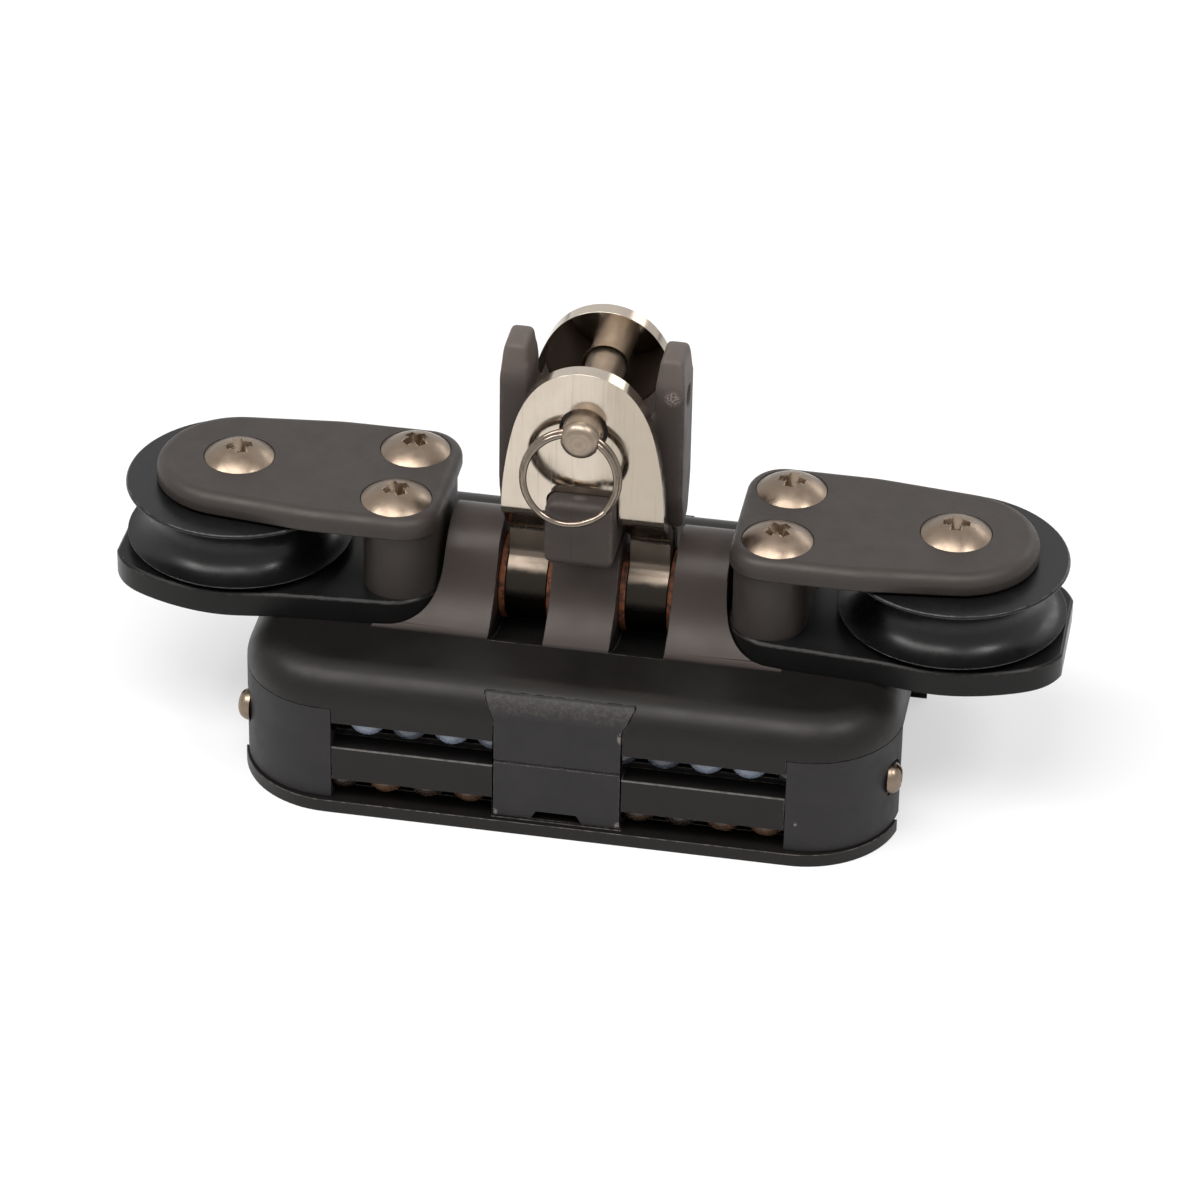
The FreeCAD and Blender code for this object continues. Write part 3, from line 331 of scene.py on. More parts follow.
def polished_strap():
    """Polished stainless sheet with hairlines and dull smears; painted shade darkens it towards its
    right side and down its barrel round the axle, which is also duller.
    """
    f = Finish("polished strap", metallic=1.0, tint=(1, 1, 1, 1))
    smear = f.noise(5, 5, 0.6, warp=0.4)
    across = f.noise(0.14, 2, 0.5, f.scaled(0.02, 1, 1, turn=(0, 0.35, 0)))
    down = f.noise(0.2, 2, 0.5, f.scaled(1, 1, 0.02, turn=(0, -0.12, 0)))
    colour = f.mix(smear, srgb(200, 189, 176), srgb(172, 160, 146))
    side, _, height = f.axes()
    # Painted shade: darker towards the right side of the plates, where they mirror a darker floor.
    colour = f.mix(f.ramp(side, 0.5 * MM, 5.5 * MM, 0, 0.7), colour, srgb(158, 147, 132))
    colour = f.mix(f.ramp(down, 0.56, 0.74, 0, 0.3), colour, srgb(146, 134, 120))
    # Painted shade: below the plates the barrel is painted darker, and near black towards its bottom;
    # the same mask also makes it duller.
    ragged = f.math("ADD", height, f.math("MULTIPLY", f.noise(2.5, 4), 0.8 * MM))
    painted_barrel_shade = f.ramp(ragged, 38.4 * MM, 36.6 * MM)
    colour = f.mix(painted_barrel_shade, colour, srgb(102, 92, 82))
    colour = f.mix(f.ramp(ragged, 31.4 * MM, 30.6 * MM), colour, srgb(46, 42, 38))
    f.set("Base Color", f.mix(f.edges(0.3), colour, srgb(226, 219, 209)))
    rough = f.math("ADD", f.ramp(smear, 0.3, 0.75, 0.07, 0.19), f.math("MULTIPLY", painted_barrel_shade, 0.2))
    f.set("Roughness", f.math("ADD", rough, f.ramp(down, 0.55, 0.75, 0, 0.1)))
    f.bump(across, 0.06, 0.004)
    f.bump(down, 0.2, 0.006)
    return f.material


def stainless_screw():
    """Warm brushed stainless of the screw heads, with patches of grime and recesses painted paler as
    painted reflection.
    """
    f = Finish("brushed screw steel", metallic=1.0)
    brushed = f.noise(0.12, 2, 0.5, f.scaled(1, 0.12, 1))
    crossed = f.noise(0.14, 2, 0.5, f.scaled(0.12, 1, 1, turn=(0, 0, 0.5)))
    colour = f.mix(f.noise(2.2, 4, 0.6), srgb(136, 121, 106), srgb(114, 100, 87))
    grime = f.ramp(f.noise(1.1, 4, 0.6), 0.55, 0.75, 0, 0.35)
    colour = f.mix(grime, colour, srgb(104, 92, 80))
    # Painted reflection: the cross recesses are painted paler, for the light they mirror.
    recess_painted_light = f.math("MULTIPLY", f.attribute("hollow"), 0.5)
    f.set("Base Color", f.mix(recess_painted_light, colour, srgb(176, 158, 140)))
    f.set("Roughness", f.ramp(f.noise(1.6, 4), 0.25, 0.75, 0.26, 0.4))
    f.bump(brushed, 0.16, 0.01)
    f.bump(crossed, 0.12, 0.01)
    return f.material


def stainless_pin():
    """Turned pin with rings left by the tool on its end."""
    f = Finish("turned pin steel", metallic=1.0)
    flattened = f.scaled(1, 0, 1, move=(0, 0, -PIN_HEIGHT))
    radius = f.add("ShaderNodeVectorMath", {0: flattened}, operation="LENGTH").outputs["Value"]
    rings = f.turned_marks(radius, 0.28)
    along = f.noise(0.16, 2, 0.5, f.scaled(1, 0.06, 1))
    depth = f.axes()[1]
    tip = f.ramp(depth, -12.8 * MM, -13.6 * MM)
    colour = f.mix(f.noise(2.5, 4), srgb(206, 192, 178), srgb(176, 162, 148))
    colour = f.mix(tip, colour, f.mix(f.noise(1.2, 4), srgb(154, 140, 126), srgb(128, 115, 102)))
    dark_rings = f.math("MULTIPLY", tip, f.ramp(rings, 0.5, 0.66, 0, 0.5))
    f.set("Base Color", f.mix(dark_rings, colour, srgb(108, 97, 86)))
    f.set("Roughness", f.ramp(f.noise(1.5, 4), 0.25, 0.75, 0.3, 0.42))
    f.bump(rings, 0.35, 0.02)
    f.bump(along, 0.1, 0.006)
    return f.material


def ring_wire():
    """Bright drawn wire."""
    f = Finish("bright drawn wire", metallic=1.0)
    f.set("Base Color", f.mix(f.noise(1.5, 4), srgb(138, 126, 115), srgb(102, 92, 83)))
    f.set("Roughness", f.ramp(f.noise(1.0, 3), 0.3, 0.7, 0.08, 0.2))
    f.bump(f.noise(0.12, 2), 0.08, 0.004)
    return f.material


def axle_steel():
    """Ground steel of the axle and the hubs."""
    f = Finish("ground steel", metallic=1.0)
    ground = f.noise(0.15, 2, 0.5, f.scaled(0.08, 1, 1))
    f.set("Base Color", f.mix(f.noise(3, 4), srgb(196, 190, 182), srgb(168, 162, 154)))
    f.set("Roughness", f.ramp(f.noise(2, 3), 0.3, 0.7, 0.2, 0.34))
    f.bump(ground, 0.15, 0.008)
    return f.material


def washer_fibre():
    """Orange-brown fibre, ragged and partly covered by grime."""
    f = Finish("fibre washer", specular=0.3)
    strands = f.noise(0.4, 4, 0.7, warp=0.8)
    colour = f.mix(strands, srgb(148, 88, 55), srgb(92, 56, 38))
    grime = f.ramp(f.noise(1.2, 4, 0.6), 0.42, 0.6, 0, 0.85)
    colour = f.mix(grime, colour, srgb(38, 28, 23))
    pores = f.ramp(f.noise(0.25, 3), 0.6, 0.75, 0, 0.6)
    f.set("Base Color", f.mix(pores, colour, srgb(46, 30, 22)))
    f.set("Roughness", f.ramp(strands, 0.2, 0.8, 0.6, 0.85))
    f.bump(strands, 0.6, 0.08)
    return f.material


def ball_plastic(name, light, dark, stain):
    """Moulded ball painted light or dark from ball to ball, as painted light and shade."""
    f = Finish(name, specular=0.5)
    # Painted light and shade: each ball is painted light or dark by its chance value.
    colour = f.mix(f.attribute("shade"), light, dark)
    colour = f.mix(f.ramp(f.noise(1.6, 4, 0.6), 0.45, 0.75, 0, 0.5), colour, stain)
    f.set("Base Color", colour)
    f.set("Roughness", f.ramp(f.noise(0.8, 3), 0.3, 0.7, 0.2, 0.36))
    f.bump(f.noise(0.2, 2), 0.08, 0.008)
    return f.material


def liner_plastic():
    """Cream bearing plastic of the sheave liners."""
    f = Finish("bearing plastic", specular=0.4)
    f.set("Base Color", f.mix(f.noise(1.5, 4), srgb(190, 180, 158), srgb(162, 152, 130)))
    f.set("Roughness", f.ramp(f.noise(1, 3), 0.3, 0.7, 0.4, 0.55))
    f.bump(f.noise(0.2, 2), 0.1, 0.01)
    return f.material


FINISHES = {
    "anodised_body": anodised_body(),
    "plate_anodised": anodised_plate(),
    "cap_plastic": moulded_cap(),
    "cover_composite": cast_cover(),
    "insert_plastic": insert_moulding(),
    "sheave_plastic": glossy_sheave(),
    "polished_steel": polished_strap(),
    "stainless_screw": stainless_screw(),
    "stainless_pin": stainless_pin(),
    "ring_wire": ring_wire(),
    "washer_fibre": washer_fibre(),
    "hub_metal": axle_steel(),
    "liner_plastic": liner_plastic(),
    "pale_ball": ball_plastic("pale ball plastic", light=srgb(122, 130, 144), dark=srgb(16, 18, 21),
                              stain=srgb(52, 54, 58)),
    "brown_ball": ball_plastic("brown ball plastic", light=srgb(98, 72, 52), dark=srgb(24, 21, 19),
                               stain=srgb(36, 30, 27)),
}


def separate_groups(shell):
    """Lists of the vertices that hang together, one list for each solid of a mesh."""
    groups = []
    seen = set()
    for start in shell.verts:
        if start in seen:
            continue
        group = [start]
        seen.add(start)
        for vertex in group:
            for edge in vertex.link_edges:
                other = edge.other_vert(vertex)
                if other not in seen:
                    seen.add(other)
                    group.append(other)
        groups.append(group)
    return groups


def middle_and_top(group):
    """Middle of the box round a group of vertices, and the height of its top."""
    low = Vector([min(vertex.co[axis] for vertex in group) for axis in range(3)])
    high = Vector([max(vertex.co[axis] for vertex in group) for axis in range(3)])
    return (low + high) / 2, high[2]


def drawn_profile(fine, barrel, neck, heights, reach_now, spread):
    """Reach of the legs at each fine height: round the axle, up the neck and out to the plates."""
    rise = np.clip(fine - AXLE_HEIGHT, 0, None)
    drawn = np.maximum(np.sqrt(np.clip(barrel ** 2 - rise ** 2, 0, None)), neck)
    drawn = drawn + (np.interp(SPREAD_END, heights, reach_now) - neck) * spread
    window = 11
    smooth = np.convolve(np.pad(drawn, window // 2, "edge"), np.ones(window) / window, "valid")
    held = np.clip(np.minimum(fine - NECK_START, SPREAD_END - fine), 0, 1)
    drawn = drawn + held * (smooth - drawn)
    return np.where(fine > SPREAD_END, np.interp(fine, heights, reach_now), drawn)


def draw_legs_together(shell):
    """Closes the strap above the axle: a round barrel, a narrow neck and the spread to the plates."""
    heights = np.arange(26.6, 44.6, 0.45)  # cuts across the legs, close enough for the curves
    outer_now, inner_now = [], []
    for height in heights:
        everything = shell.verts[:] + shell.edges[:] + shell.faces[:]
        bmesh.ops.bisect_plane(shell, geom=everything, dist=0.0005 * MM, plane_co=(0, 0, height * MM),
                               plane_no=(0, 0, 1))
    for height in heights:
        depths = [abs(v.co.y) / MM for v in shell.verts if abs(v.co.z / MM - height) < 0.002]
        outer_now.append(max(depths))
        inner_now.append(min(depths))
    fine = np.arange(24.0, 47.0, 0.1)
    spread = np.interp(fine, [SPREAD_START, SPREAD_END], [0, 1])
    outer = drawn_profile(fine, STRAP_BARREL, STRAP_NECK, heights, outer_now, spread)
    inner = drawn_profile(fine, STRAP_BARREL - STRAP_THICKNESS, STRAP_NECK - STRAP_THICKNESS,
                          heights, inner_now, spread ** 1.25)
    for vertex in shell.verts:
        height = vertex.co.z / MM
        if AXLE_HEIGHT < height < SPREAD_END:
            near = np.interp(height, heights, inner_now)
            far = np.interp(height, heights, outer_now)
            share = min(max((abs(vertex.co.y) / MM - near) / (far - near), 0), 1)
            drawn = np.interp(height, fine, inner) * (1 - share)
            drawn += np.interp(height, fine, outer) * share
            vertex.co.y = math.copysign(drawn * MM, vertex.co.y)


def taper_crosses(shell):
    """Gives each screw's cross tapered wings and turns the screw, by the entry nearest to its place."""
    for group in separate_groups(shell):
        middle, top = middle_and_top(group)
        floor = top - CROSS_DEPTH * MM
        at = (middle.x / MM, middle.y / MM)
        nearest = min(CROSS_TURNS, key=lambda place: math.dist(place[:2], at))
        turn = Matrix.Rotation(math.radians(nearest[2]), 2)
        for vertex in group:
            local = Vector((vertex.co.x - middle.x, vertex.co.y - middle.y))
            if vertex.co.z > floor - 0.01 * MM and local.length < CROSS_REACH * MM:
                rise = min((vertex.co.z - floor) / (WING_FLARE_HEIGHT * MM), 1)
                wide = (WING_AT_FLOOR + WING_FLARE * rise) * MM
                for axis in range(2):
                    if abs(abs(local[axis]) - CAD_WING * MM) < 0.02 * MM:
                        local[axis] = math.copysign(wide, local[axis])
            local = turn @ local
            vertex.co.x = middle.x + local.x
            vertex.co.y = middle.y + local.y


def sewn_shell(node):
    """A copy of a CAD node's mesh with its loose triangles joined."""
    shell = bmesh.new()
    shell.from_mesh(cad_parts[node].data)
    bmesh.ops.remove_doubles(shell, verts=shell.verts, dist=SEWING_GAP)
    return shell


def sewn_mesh(node, whole_faces=True, reshape=None):
    """A sewn mesh of a CAD node, with its flat faces made whole and its form changed if asked."""
    shell = sewn_shell(node)
    bmesh.ops.dissolve_degenerate(shell, edges=shell.edges, dist=0.001 * MM)
    if whole_faces:
        bmesh.ops.dissolve_limit(shell, angle_limit=math.radians(WHOLE_FACE_ANGLE),
                                 verts=shell.verts, edges=shell.edges)
    if reshape:
        reshape(shell)
    for face in shell.faces:
        face.smooth = True
    for edge in shell.edges:
        joined = len(edge.link_faces) == 2
        edge.smooth = joined and edge.calc_face_angle(0.0) < math.radians(SHARP_ANGLE)
    mesh = bpy.data.meshes.new(node)
    shell.to_mesh(mesh)
    shell.free()
    for name in ("custom_normal", "UVMap"):
        if name in mesh.attributes:
            mesh.attributes.remove(mesh.attributes[name])
    return mesh


def plain(obj):
    """The object's evaluated mesh takes the place of its modifiers."""
    depsgraph = bpy.context.evaluated_depsgraph_get()
    mesh = bpy.data.meshes.new_from_object(obj.evaluated_get(depsgraph), depsgraph=depsgraph)
    obj.modifiers.clear()
    obj.data = mesh
    return obj


def mark_edges(mesh):
    """Turns the faces that the bevel made into a mask of the edges, strongest along their middle."""
    count = len(mesh.polygons)
    bevelled = np.zeros(count, np.int32)
    mesh.polygons.foreach_get("material_index", bevelled)
    corners = np.zeros(len(mesh.loops), np.int32)
    mesh.loops.foreach_get("vertex_index", corners)
    sides = np.zeros(count, np.int32)
    mesh.polygons.foreach_get("loop_total", sides)
    on_bevel = np.repeat(bevelled, sides)
    flat = np.bincount(corners, weights=1 - on_bevel, minlength=len(mesh.vertices))
    middle = np.where(flat[corners] > 0, 0.35, 1.0)
    edge = mesh.attributes.new("edge", "FLOAT", "CORNER")
    edge.data.foreach_set("value", (on_bevel * middle).astype(np.float32))
    mesh.polygons.foreach_set("material_index", np.zeros(count, np.int32))


def mark_hollows(mesh, reach):
    """Mask of the hollows: the share of rays from each place that meet the piece within reach."""
    shell = BVHTree.FromPolygons([v.co for v in mesh.vertices], [p.vertices for p in mesh.polygons])
    rays = 24
    golden_turn = 2.39996
    around = []
    for step in range(rays):
        height = (step + 0.5) / rays
        turn = step * golden_turn
        flat = math.sqrt(1 - height * height)
        around.append(Vector((math.cos(turn) * flat, math.sin(turn) * flat, height)))
    values = np.zeros(len(mesh.vertices), np.float32)
    for vertex in mesh.vertices:
        lean = vertex.normal.to_track_quat("Z", "Y")
        start = vertex.co + vertex.normal * 0.02 * MM
        hits = sum(shell.ray_cast(start, lean @ ray, reach * MM)[0] is not None for ray in around)
        values[vertex.index] = hits / rays
    mesh.attributes.new("hollow", "FLOAT", "POINT").data.foreach_set("value", values)


def mark_ridges(mesh):
    """Mask of the rounded edges of a moulded piece, from how far its neighbours fall away."""
    count = len(mesh.vertices)
    places = np.zeros(count * 3)
    normals = np.zeros(count * 3)
    ends = np.zeros(len(mesh.edges) * 2, np.int32)
    mesh.vertices.foreach_get("co", places)
    mesh.vertices.foreach_get("normal", normals)
    mesh.edges.foreach_get("vertices", ends)
    places = places.reshape(-1, 3)
    normals = normals.reshape(-1, 3)
    first, second = ends[0::2], ends[1::2]
    along = places[second] - places[first]
    length = np.maximum(np.linalg.norm(along, axis=1), 1e-9)
    fall = np.bincount(first, -(along * normals[first]).sum(1) / length, count)
    fall += np.bincount(second, (along * normals[second]).sum(1) / length, count)
    value = np.clip(fall, 0, 1)
    mesh.attributes.new("edge", "FLOAT", "POINT").data.foreach_set("value", value.astype(np.float32))


def moulded_piece(node, slot, grain, passes, body):
    """A moulded piece in place of a CAD node: an even skin of fine grain, with its edges rounded."""
    piece = bpy.data.objects.new(node + "_finished", sewn_mesh(node))
    scene.collection.objects.link(piece)
    remesh = piece.modifiers.new("Even skin", "REMESH")
    remesh.mode = "VOXEL"
    remesh.voxel_size = grain * MM
    remesh.use_smooth_shade = True
    smooth = piece.modifiers.new("Round edges", "SMOOTH")
    smooth.factor = 0.5
    smooth.iterations = passes
    plain(piece)
    piece.data.materials.clear()
    piece.data.materials.append(FINISHES[slot])
    mark_ridges(piece.data)
    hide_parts(node)
    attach(piece, body)


def finish_node(node, slot, edge_width, body):
    """A finished piece in place of a CAD node: sewn, with soft edges and its own finish."""
    many_faced = node == "car_body"
    mesh = sewn_mesh(node, whole_faces=not many_faced, reshape=RESHAPES.get(node))
    piece = bpy.data.objects.new(node + "_finished", mesh)
    scene.collection.objects.link(piece)
    piece.data.materials.append(FINISHES[slot])
    piece.data.materials.append(FINISHES[slot])
    bevel = piece.modifiers.new("Soft edges", "BEVEL")
    bevel.limit_method = "ANGLE"
    bevel.angle_limit = math.radians(SOFT_EDGE_ANGLE)
    bevel.width = edge_width * MM
    bevel.segments = 2
    bevel.use_clamp_overlap = not many_faced
    bevel.material = 1
    weighted = piece.modifiers.new("Flat faces stay flat", "WEIGHTED_NORMAL")
    weighted.keep_sharp = True
    plain(piece)
    mark_edges(piece.data)
    piece.data.materials.pop(index=1)
    for vertex in piece.data.vertices:
        vertex.co.z = max(vertex.co.z, 0.0)
    if slot == "stainless_screw":
        mark_hollows(piece.data, 2.5)
    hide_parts(node)
    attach(piece, body)


# Nodes whose form is changed before their edges are softened
RESHAPES = {"strap": draw_legs_together}
for hand in ("right", "left"):
    RESHAPES["hub_screw_" + hand] = taper_crosses
    RESHAPES["cover_screws_" + hand] = taper_crosses

# Each finished node with its slot, the width of its soft edges in millimetres and its body
PIECES = [
    ("car_body", "anodised_body", 0.11, "car"),
    ("keeper_front", "cap_plastic", 0.12, "car"),
    ("keeper_back", "cap_plastic", 0.12, "car"),
    ("end_cap_front_right", "cap_plastic", 0.12, "car"),
    ("end_cap_front_left", "cap_plastic", 0.12, "car"),
    ("end_cap_back_right", "cap_plastic", 0.12, "car"),
    ("end_cap_back_left", "cap_plastic", 0.12, "car"),
    ("end_cap_screws", "stainless_screw", 0.1, "car"),
    ("axle", "hub_metal", 0.1, "car"),
    ("thrust_washer_inner_right", "washer_fibre", 0.08, "car"),
    ("thrust_washer_outer_right", "washer_fibre", 0.08, "car"),
    ("thrust_washer_inner_left", "washer_fibre", 0.08, "car"),
    ("thrust_washer_outer_left", "washer_fibre", 0.08, "car"),
    ("strap", "polished_steel", 0.2, "toggle"),
    ("clevis_pin", "stainless_pin", 0.12, "clevis_pin"),
]
for hand in ("right", "left"):
    PIECES += [
        ("base_plate_" + hand, "plate_anodised", 0.1, "car"),
        ("sheave_hub_" + hand, "hub_metal", 0.1, "car"),
        ("sheave_liner_" + hand, "liner_plastic", 0.1, "sheave_unit_" + hand),
        ("sheave_" + hand, "sheave_plastic", 0.15, "sheave_unit_" + hand),
        ("cheek_cover_" + hand, "cover_composite", 0.15, "car"),
        ("hub_screw_" + hand, "stainless_screw", 0.12, "car"),
        ("cover_screws_" + hand, "stainless_screw", 0.12, "car"),
    ]
for node, slot, edge_width, body in PIECES:
    finish_node(node, slot, edge_width, body)
moulded_piece("upright_insert", "insert_plastic", 0.32, 16, "toggle")


def socket_identifier(tree, name):
    """Identifier of a named input of a node tree, by which a modifier sets it."""
    return next(item.identifier for item in tree.interface.items_tree
                if item.item_type == "SOCKET" and item.in_out == "INPUT" and item.name == name)


def node_piece(name, mesh, tree, values):
    """Runs a geometry tree on a mesh and returns the result as a plain mesh object."""
    piece = bpy.data.objects.new(name, mesh)
    scene.collection.objects.link(piece)
    modifier = piece.modifiers.new("Shape", "NODES")
    modifier.node_group = tree
    for key, value in values.items():
        modifier[socket_identifier(tree, key)] = value
    return plain(piece)


def new_tree(name, inputs):
    """Geometry tree with named inputs, each given as (name, socket kind, default)."""
    group = bpy.data.node_groups.new(name, "GeometryNodeTree")
    group.interface.new_socket("Geometry", in_out="INPUT", socket_type="NodeSocketGeometry")
    for label, kind, default in inputs:
        socket = group.interface.new_socket(label, in_out="INPUT", socket_type=kind)
        if default is not None:
            socket.default_value = default
    group.interface.new_socket("Geometry", in_out="OUTPUT", socket_type="NodeSocketGeometry")
    tree = Tree(group)
    given = tree.add("NodeGroupInput").outputs
    return group, tree, given


def end_tree(tree, geometry, given):
    """Realized instances with their material go to the output."""
    real = tree.add("GeometryNodeRealizeInstances", {0: geometry}).outputs[0]
    done = tree.add("GeometryNodeSetMaterial", {
        "Geometry": real, "Material": given["Material"]}).outputs[0]
    output = tree.add("NodeGroupOutput")
    tree.tree.links.new(done, output.inputs[0])


def ball_tree():
    """Balls on points, each turned by chance and given a painted shade by chance."""
    group, tree, given = new_tree("Balls of a circuit", [
        ("Ball diameter", "NodeSocketFloat", BALL_DIAMETER), ("Segments", "NodeSocketInt", 24),
        ("Seed", "NodeSocketInt", 3), ("Material", "NodeSocketMaterial", None)])
    seed = given["Seed"]
    radius = tree.math("MULTIPLY", given["Ball diameter"], 0.5)
    ball = tree.add("GeometryNodeMeshUVSphere", {
        "Segments": given["Segments"], "Rings": 14, "Radius": radius})
    smooth = tree.add("GeometryNodeSetShadeSmooth", {"Geometry": ball.outputs[0]}).outputs[0]
    turn = tree.add("FunctionNodeRandomValue", {0: (0, 0, 0), 1: (6.28, 6.28, 6.28), "Seed": seed},
                    data_type="FLOAT_VECTOR").outputs[0]
    chance = tree.add("FunctionNodeRandomValue", {2: 0.0, 3: 1.0, "Seed": seed},
                      data_type="FLOAT").outputs[1]
    placed = tree.add("GeometryNodeInstanceOnPoints", {
        "Points": given["Geometry"], "Instance": smooth, "Rotation": turn}).outputs[0]
    shaded = tree.add("GeometryNodeStoreNamedAttribute", {
        "Geometry": placed, "Name": "shade", "Value": chance},
        data_type="FLOAT", domain="INSTANCE").outputs[0]
    end_tree(tree, shaded, given)
    return group


def ball_centres(node):
    """Centres of the separate balls of a CAD node."""
    shell = sewn_shell(node)
    centres = [middle_and_top(group)[0] for group in separate_groups(shell)]
    shell.free()
    return centres


# Each circuit of balls with its slot and the seed of its painted light and shade
BALL_ROWS = [
    ("upper_balls_front", "pale_ball", 420),
    ("upper_balls_back", "pale_ball", 8),
    ("lower_balls_front", "brown_ball", 338),
    ("lower_balls_back", "brown_ball", 14),
]
balls = ball_tree()
for node, slot, seed in BALL_ROWS:
    points = bpy.data.meshes.new(node + "_centres")
    points.from_pydata(ball_centres(node), [], [])
    row = node_piece(node + "_finished", points, balls, {
        "Ball diameter": BALL_DIAMETER, "Seed": seed, "Material": FINISHES[slot]})
    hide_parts(node)
    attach(row, "car")


def ring_tree():
    """Wire laid in two flat turns, with a short step from one turn to the next."""
    group, tree, given = new_tree("Split ring", [
        ("Mean radius", "NodeSocketFloat", RING_MEAN_RADIUS * MM),
        ("Wire", "NodeSocketFloat", RING_WIRE * MM),
        ("Turns", "NodeSocketFloat", 1.93), ("Step share", "NodeSocketFloat", 0.035),
        ("Mismatch", "NodeSocketFloat", 0.3 * MM), ("Material", "NodeSocketMaterial", None)])
    line = tree.add("GeometryNodeCurvePrimitiveLine").outputs[0]
    points = tree.add("GeometryNodeResampleCurve", {"Curve": line, "Count": 220}).outputs[0]
    share = tree.add("GeometryNodeSplineParameter").outputs["Factor"]
    angle = tree.math("MULTIPLY", tree.math("MULTIPLY", share, given["Turns"]), math.tau)
    first_turn = tree.math("DIVIDE", 1.0, given["Turns"])
    rise = tree.ramp(share, tree.math("SUBTRACT", first_turn, given["Step share"]), first_turn)
    from_middle = tree.math("SUBTRACT", rise, 0.5)
    half = tree.math("MULTIPLY", given["Wire"], 0.5)
    layer = tree.math("MULTIPLY", from_middle, given["Wire"])
    wide = tree.math("ADD", given["Mean radius"], tree.math("MULTIPLY", from_middle, given["Mismatch"]))
    x = tree.math("MULTIPLY", tree.math("COSINE", angle), wide)
    z = tree.math("MULTIPLY", tree.math("SINE", angle), wide)
    place = tree.add("ShaderNodeCombineXYZ", {0: x, 1: layer, 2: z}).outputs[0]
    bent = tree.add("GeometryNodeSetPosition", {"Geometry": points, "Position": place}).outputs[0]
    round_wire = tree.add("GeometryNodeCurvePrimitiveCircle", {
        "Resolution": 14, "Radius": half}).outputs[0]
    wire = tree.add("GeometryNodeCurveToMesh", {
        "Curve": bent, "Profile Curve": round_wire, "Fill Caps": True}).outputs[0]
    smooth = tree.add("GeometryNodeSetShadeSmooth", {"Geometry": wire}).outputs[0]
    end_tree(tree, smooth, given)
    return group


def split_ring():
    """The ring hangs through the pin and leans out from the insert's tab."""
    ring = node_piece("split_ring_finished", bpy.data.meshes.new("split_ring"), ring_tree(),
                      {"Material": FINISHES["ring_wire"]})
    sag = RING_MEAN_RADIUS - math.sqrt(RING_MEAN_RADIUS ** 2 - PIN_RADIUS ** 2)
    end_turned = Matrix.Rotation(math.radians(RING_END_TURN), 4, "Y")
    hung = Matrix.Translation((0, 0, (sag / 2 - RING_MEAN_RADIUS) * MM))
    leaning = Matrix.Rotation(math.radians(RING_LEAN), 4, "X")
    at_hole = Matrix.Translation((0, RING_HOLE_Y, 0))
    swung = Matrix.Rotation(math.radians(RING_SWING), 4, "Y")
    lifted = Matrix.Translation((0, 0, PIN_HEIGHT))
    ring.data.transform(lifted @ swung @ at_hole @ leaning @ hung @ end_turned)
    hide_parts("split_ring")
    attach(ring, "split_ring")


split_ring()


def studio_floor():
    """Pale floor that keeps the object's shadow."""
    reach = 9
    corners = [(-reach, -reach, 0), (reach, -reach, 0), (reach, reach, 0), (-reach, reach, 0)]
    mesh = bpy.data.meshes.new("floor")
    mesh.from_pydata(corners, [], [(0, 1, 2, 3)])
    floor = bpy.data.objects.new("floor", mesh)
    scene.collection.objects.link(floor)
    material = bpy.data.materials.new("pale floor")
    material.use_nodes = True
    tree = Tree(material.node_tree)
    tree.tree.nodes.clear()
    matt = tree.add("ShaderNodeBsdfDiffuse", {"Color": (0.86, 0.86, 0.86, 1)}).outputs[0]
    glow = tree.add("ShaderNodeEmission", {"Color": (1, 1, 1, 1), "Strength": 1.0}).outputs[0]
    seen = tree.add("ShaderNodeLightPath").outputs["Is Camera Ray"]
    glow_share = tree.math("MULTIPLY", seen, 0.55)
    both = tree.add("ShaderNodeMixShader", {0: glow_share, 1: matt, 2: glow}).outputs[0]
    output = tree.add("ShaderNodeOutputMaterial")
    tree.tree.links.new(both, output.inputs["Surface"])
    mesh.materials.append(material)


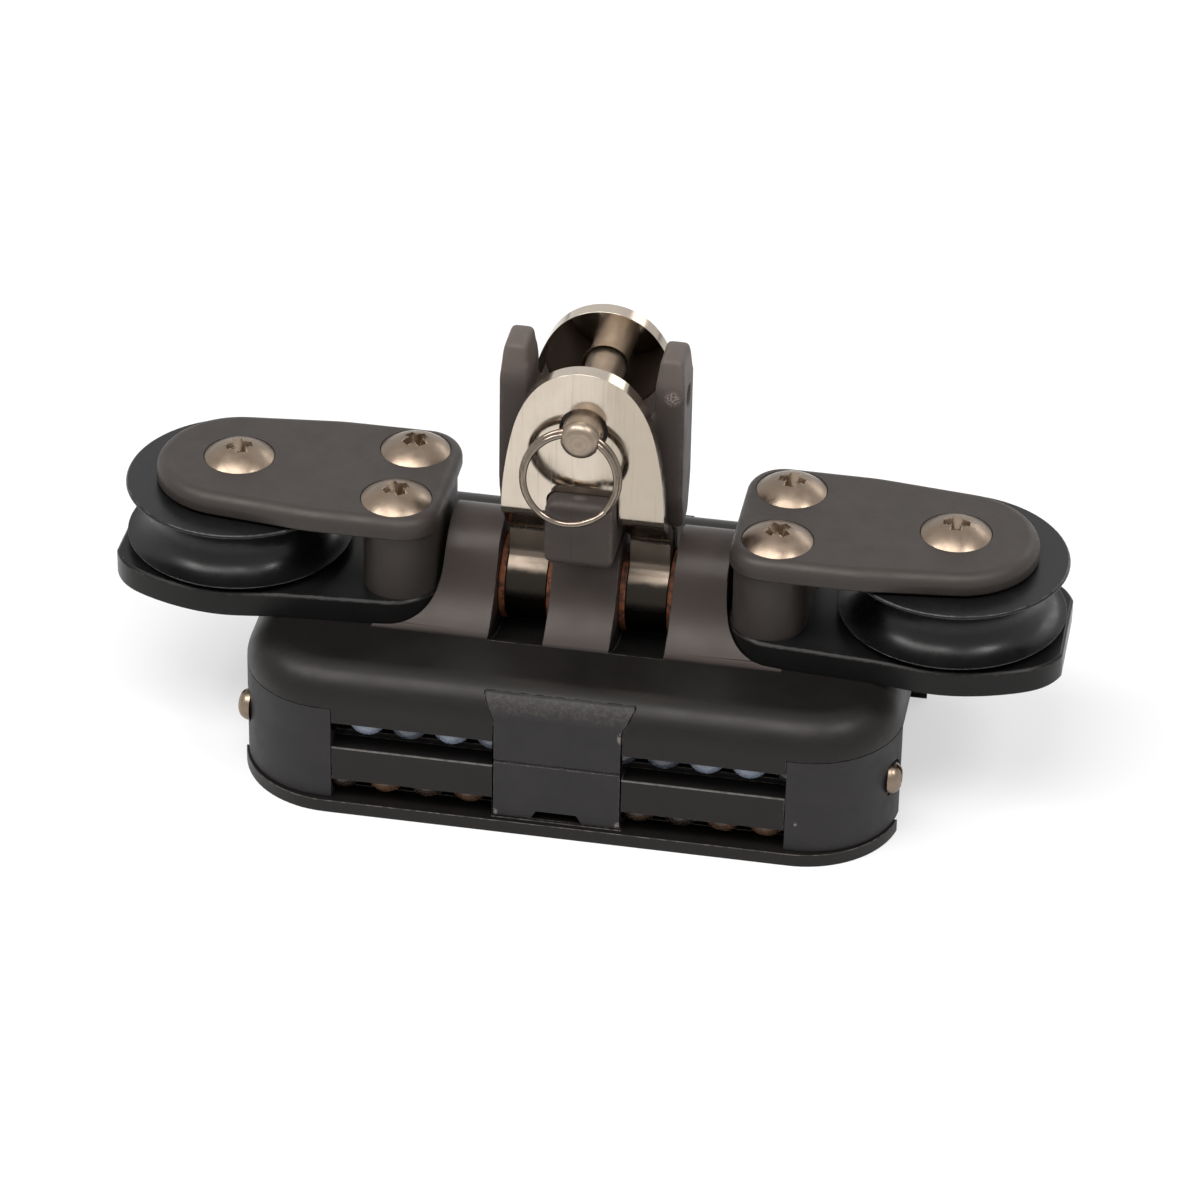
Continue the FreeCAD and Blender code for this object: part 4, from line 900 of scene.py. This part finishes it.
def studio_world():
    """White background for the camera and for reflections, and a softer sky for light."""
    world = bpy.data.worlds.new("studio")
    scene.world = world
    world.use_nodes = True
    tree = Tree(world.node_tree)
    tree.tree.nodes.clear()
    rays = tree.add("ShaderNodeLightPath").outputs
    seen = tree.math("MAXIMUM", rays["Is Camera Ray"],
                     tree.math("MAXIMUM", rays["Is Glossy Ray"], rays["Is Transmission Ray"]))
    sky_light = 0.46
    strength = tree.ramp(seen, 0.0, 1.0, sky_light, 1.0)
    background = tree.add("ShaderNodeBackground", {
        "Color": (1, 1, 1, 1), "Strength": strength}).outputs[0]
    output = tree.add("ShaderNodeOutputWorld")
    tree.tree.links.new(background, output.inputs["Surface"])


def softbox(name, place, target, size, power):
    """Rectangular soft lamp that points at a target; sizes in metres, power in watts."""
    lamp = bpy.data.lights.new(name, "AREA")
    lamp.shape = "RECTANGLE"
    lamp.size = size[0]
    lamp.size_y = size[1]
    lamp.energy = power
    holder = bpy.data.objects.new(name, lamp)
    scene.collection.objects.link(holder)
    holder.location = place
    holder.rotation_euler = (Vector(place) - Vector(target)).to_track_quat("Z", "Y").to_euler()


def camera_at_photo_angle():
    """Camera placed by its azimuth, elevation and roll, its distance and its offset from the origin."""
    azimuth, elevation, roll = (math.radians(angle) for angle in (9.541, 33.104, 1.096))
    distance = 833.092 * MM
    shift_right = 1.123 * MM
    shift_up = 19.465 * MM
    back = Vector((math.sin(azimuth) * math.cos(elevation),
                   -math.cos(azimuth) * math.cos(elevation), math.sin(elevation)))
    right = Vector((math.cos(azimuth), math.sin(azimuth), 0))
    up = back.cross(right)
    rolled_right = right * math.cos(roll) + up * math.sin(roll)
    rolled_up = up * math.cos(roll) - right * math.sin(roll)
    place = back * distance + right * shift_right + up * shift_up
    data = bpy.data.cameras.new("photo camera")
    data.sensor_width = 36.0  # millimetres, as is the lens
    data.lens = 163.02
    data.clip_start = 0.01
    data.clip_end = 50.0
    camera = bpy.data.objects.new("photo camera", data)
    scene.collection.objects.link(camera)
    turn = Matrix((rolled_right, rolled_up, back)).transposed().to_4x4()
    camera.matrix_world = Matrix.Translation(place) @ turn
    scene.camera = camera


studio_floor()
studio_world()
softbox("overhead softbox", (-0.12, -0.38, 0.88), (0, 0, 0.02), (0.6, 0.45), 6.0)
softbox("left softbox", (-0.56, -0.26, 0.79), (0, 0, 0.03), (0.26, 0.26), 3.0)
softbox("right softbox", (0.52, -0.25, 0.82), (0, 0, 0.03), (0.26, 0.26), 3.0)
softbox("back softbox", (0.5, 0.8, 0.5), (0, 0, 0.03), (0.5, 0.3), 1.2)
camera_at_photo_angle()
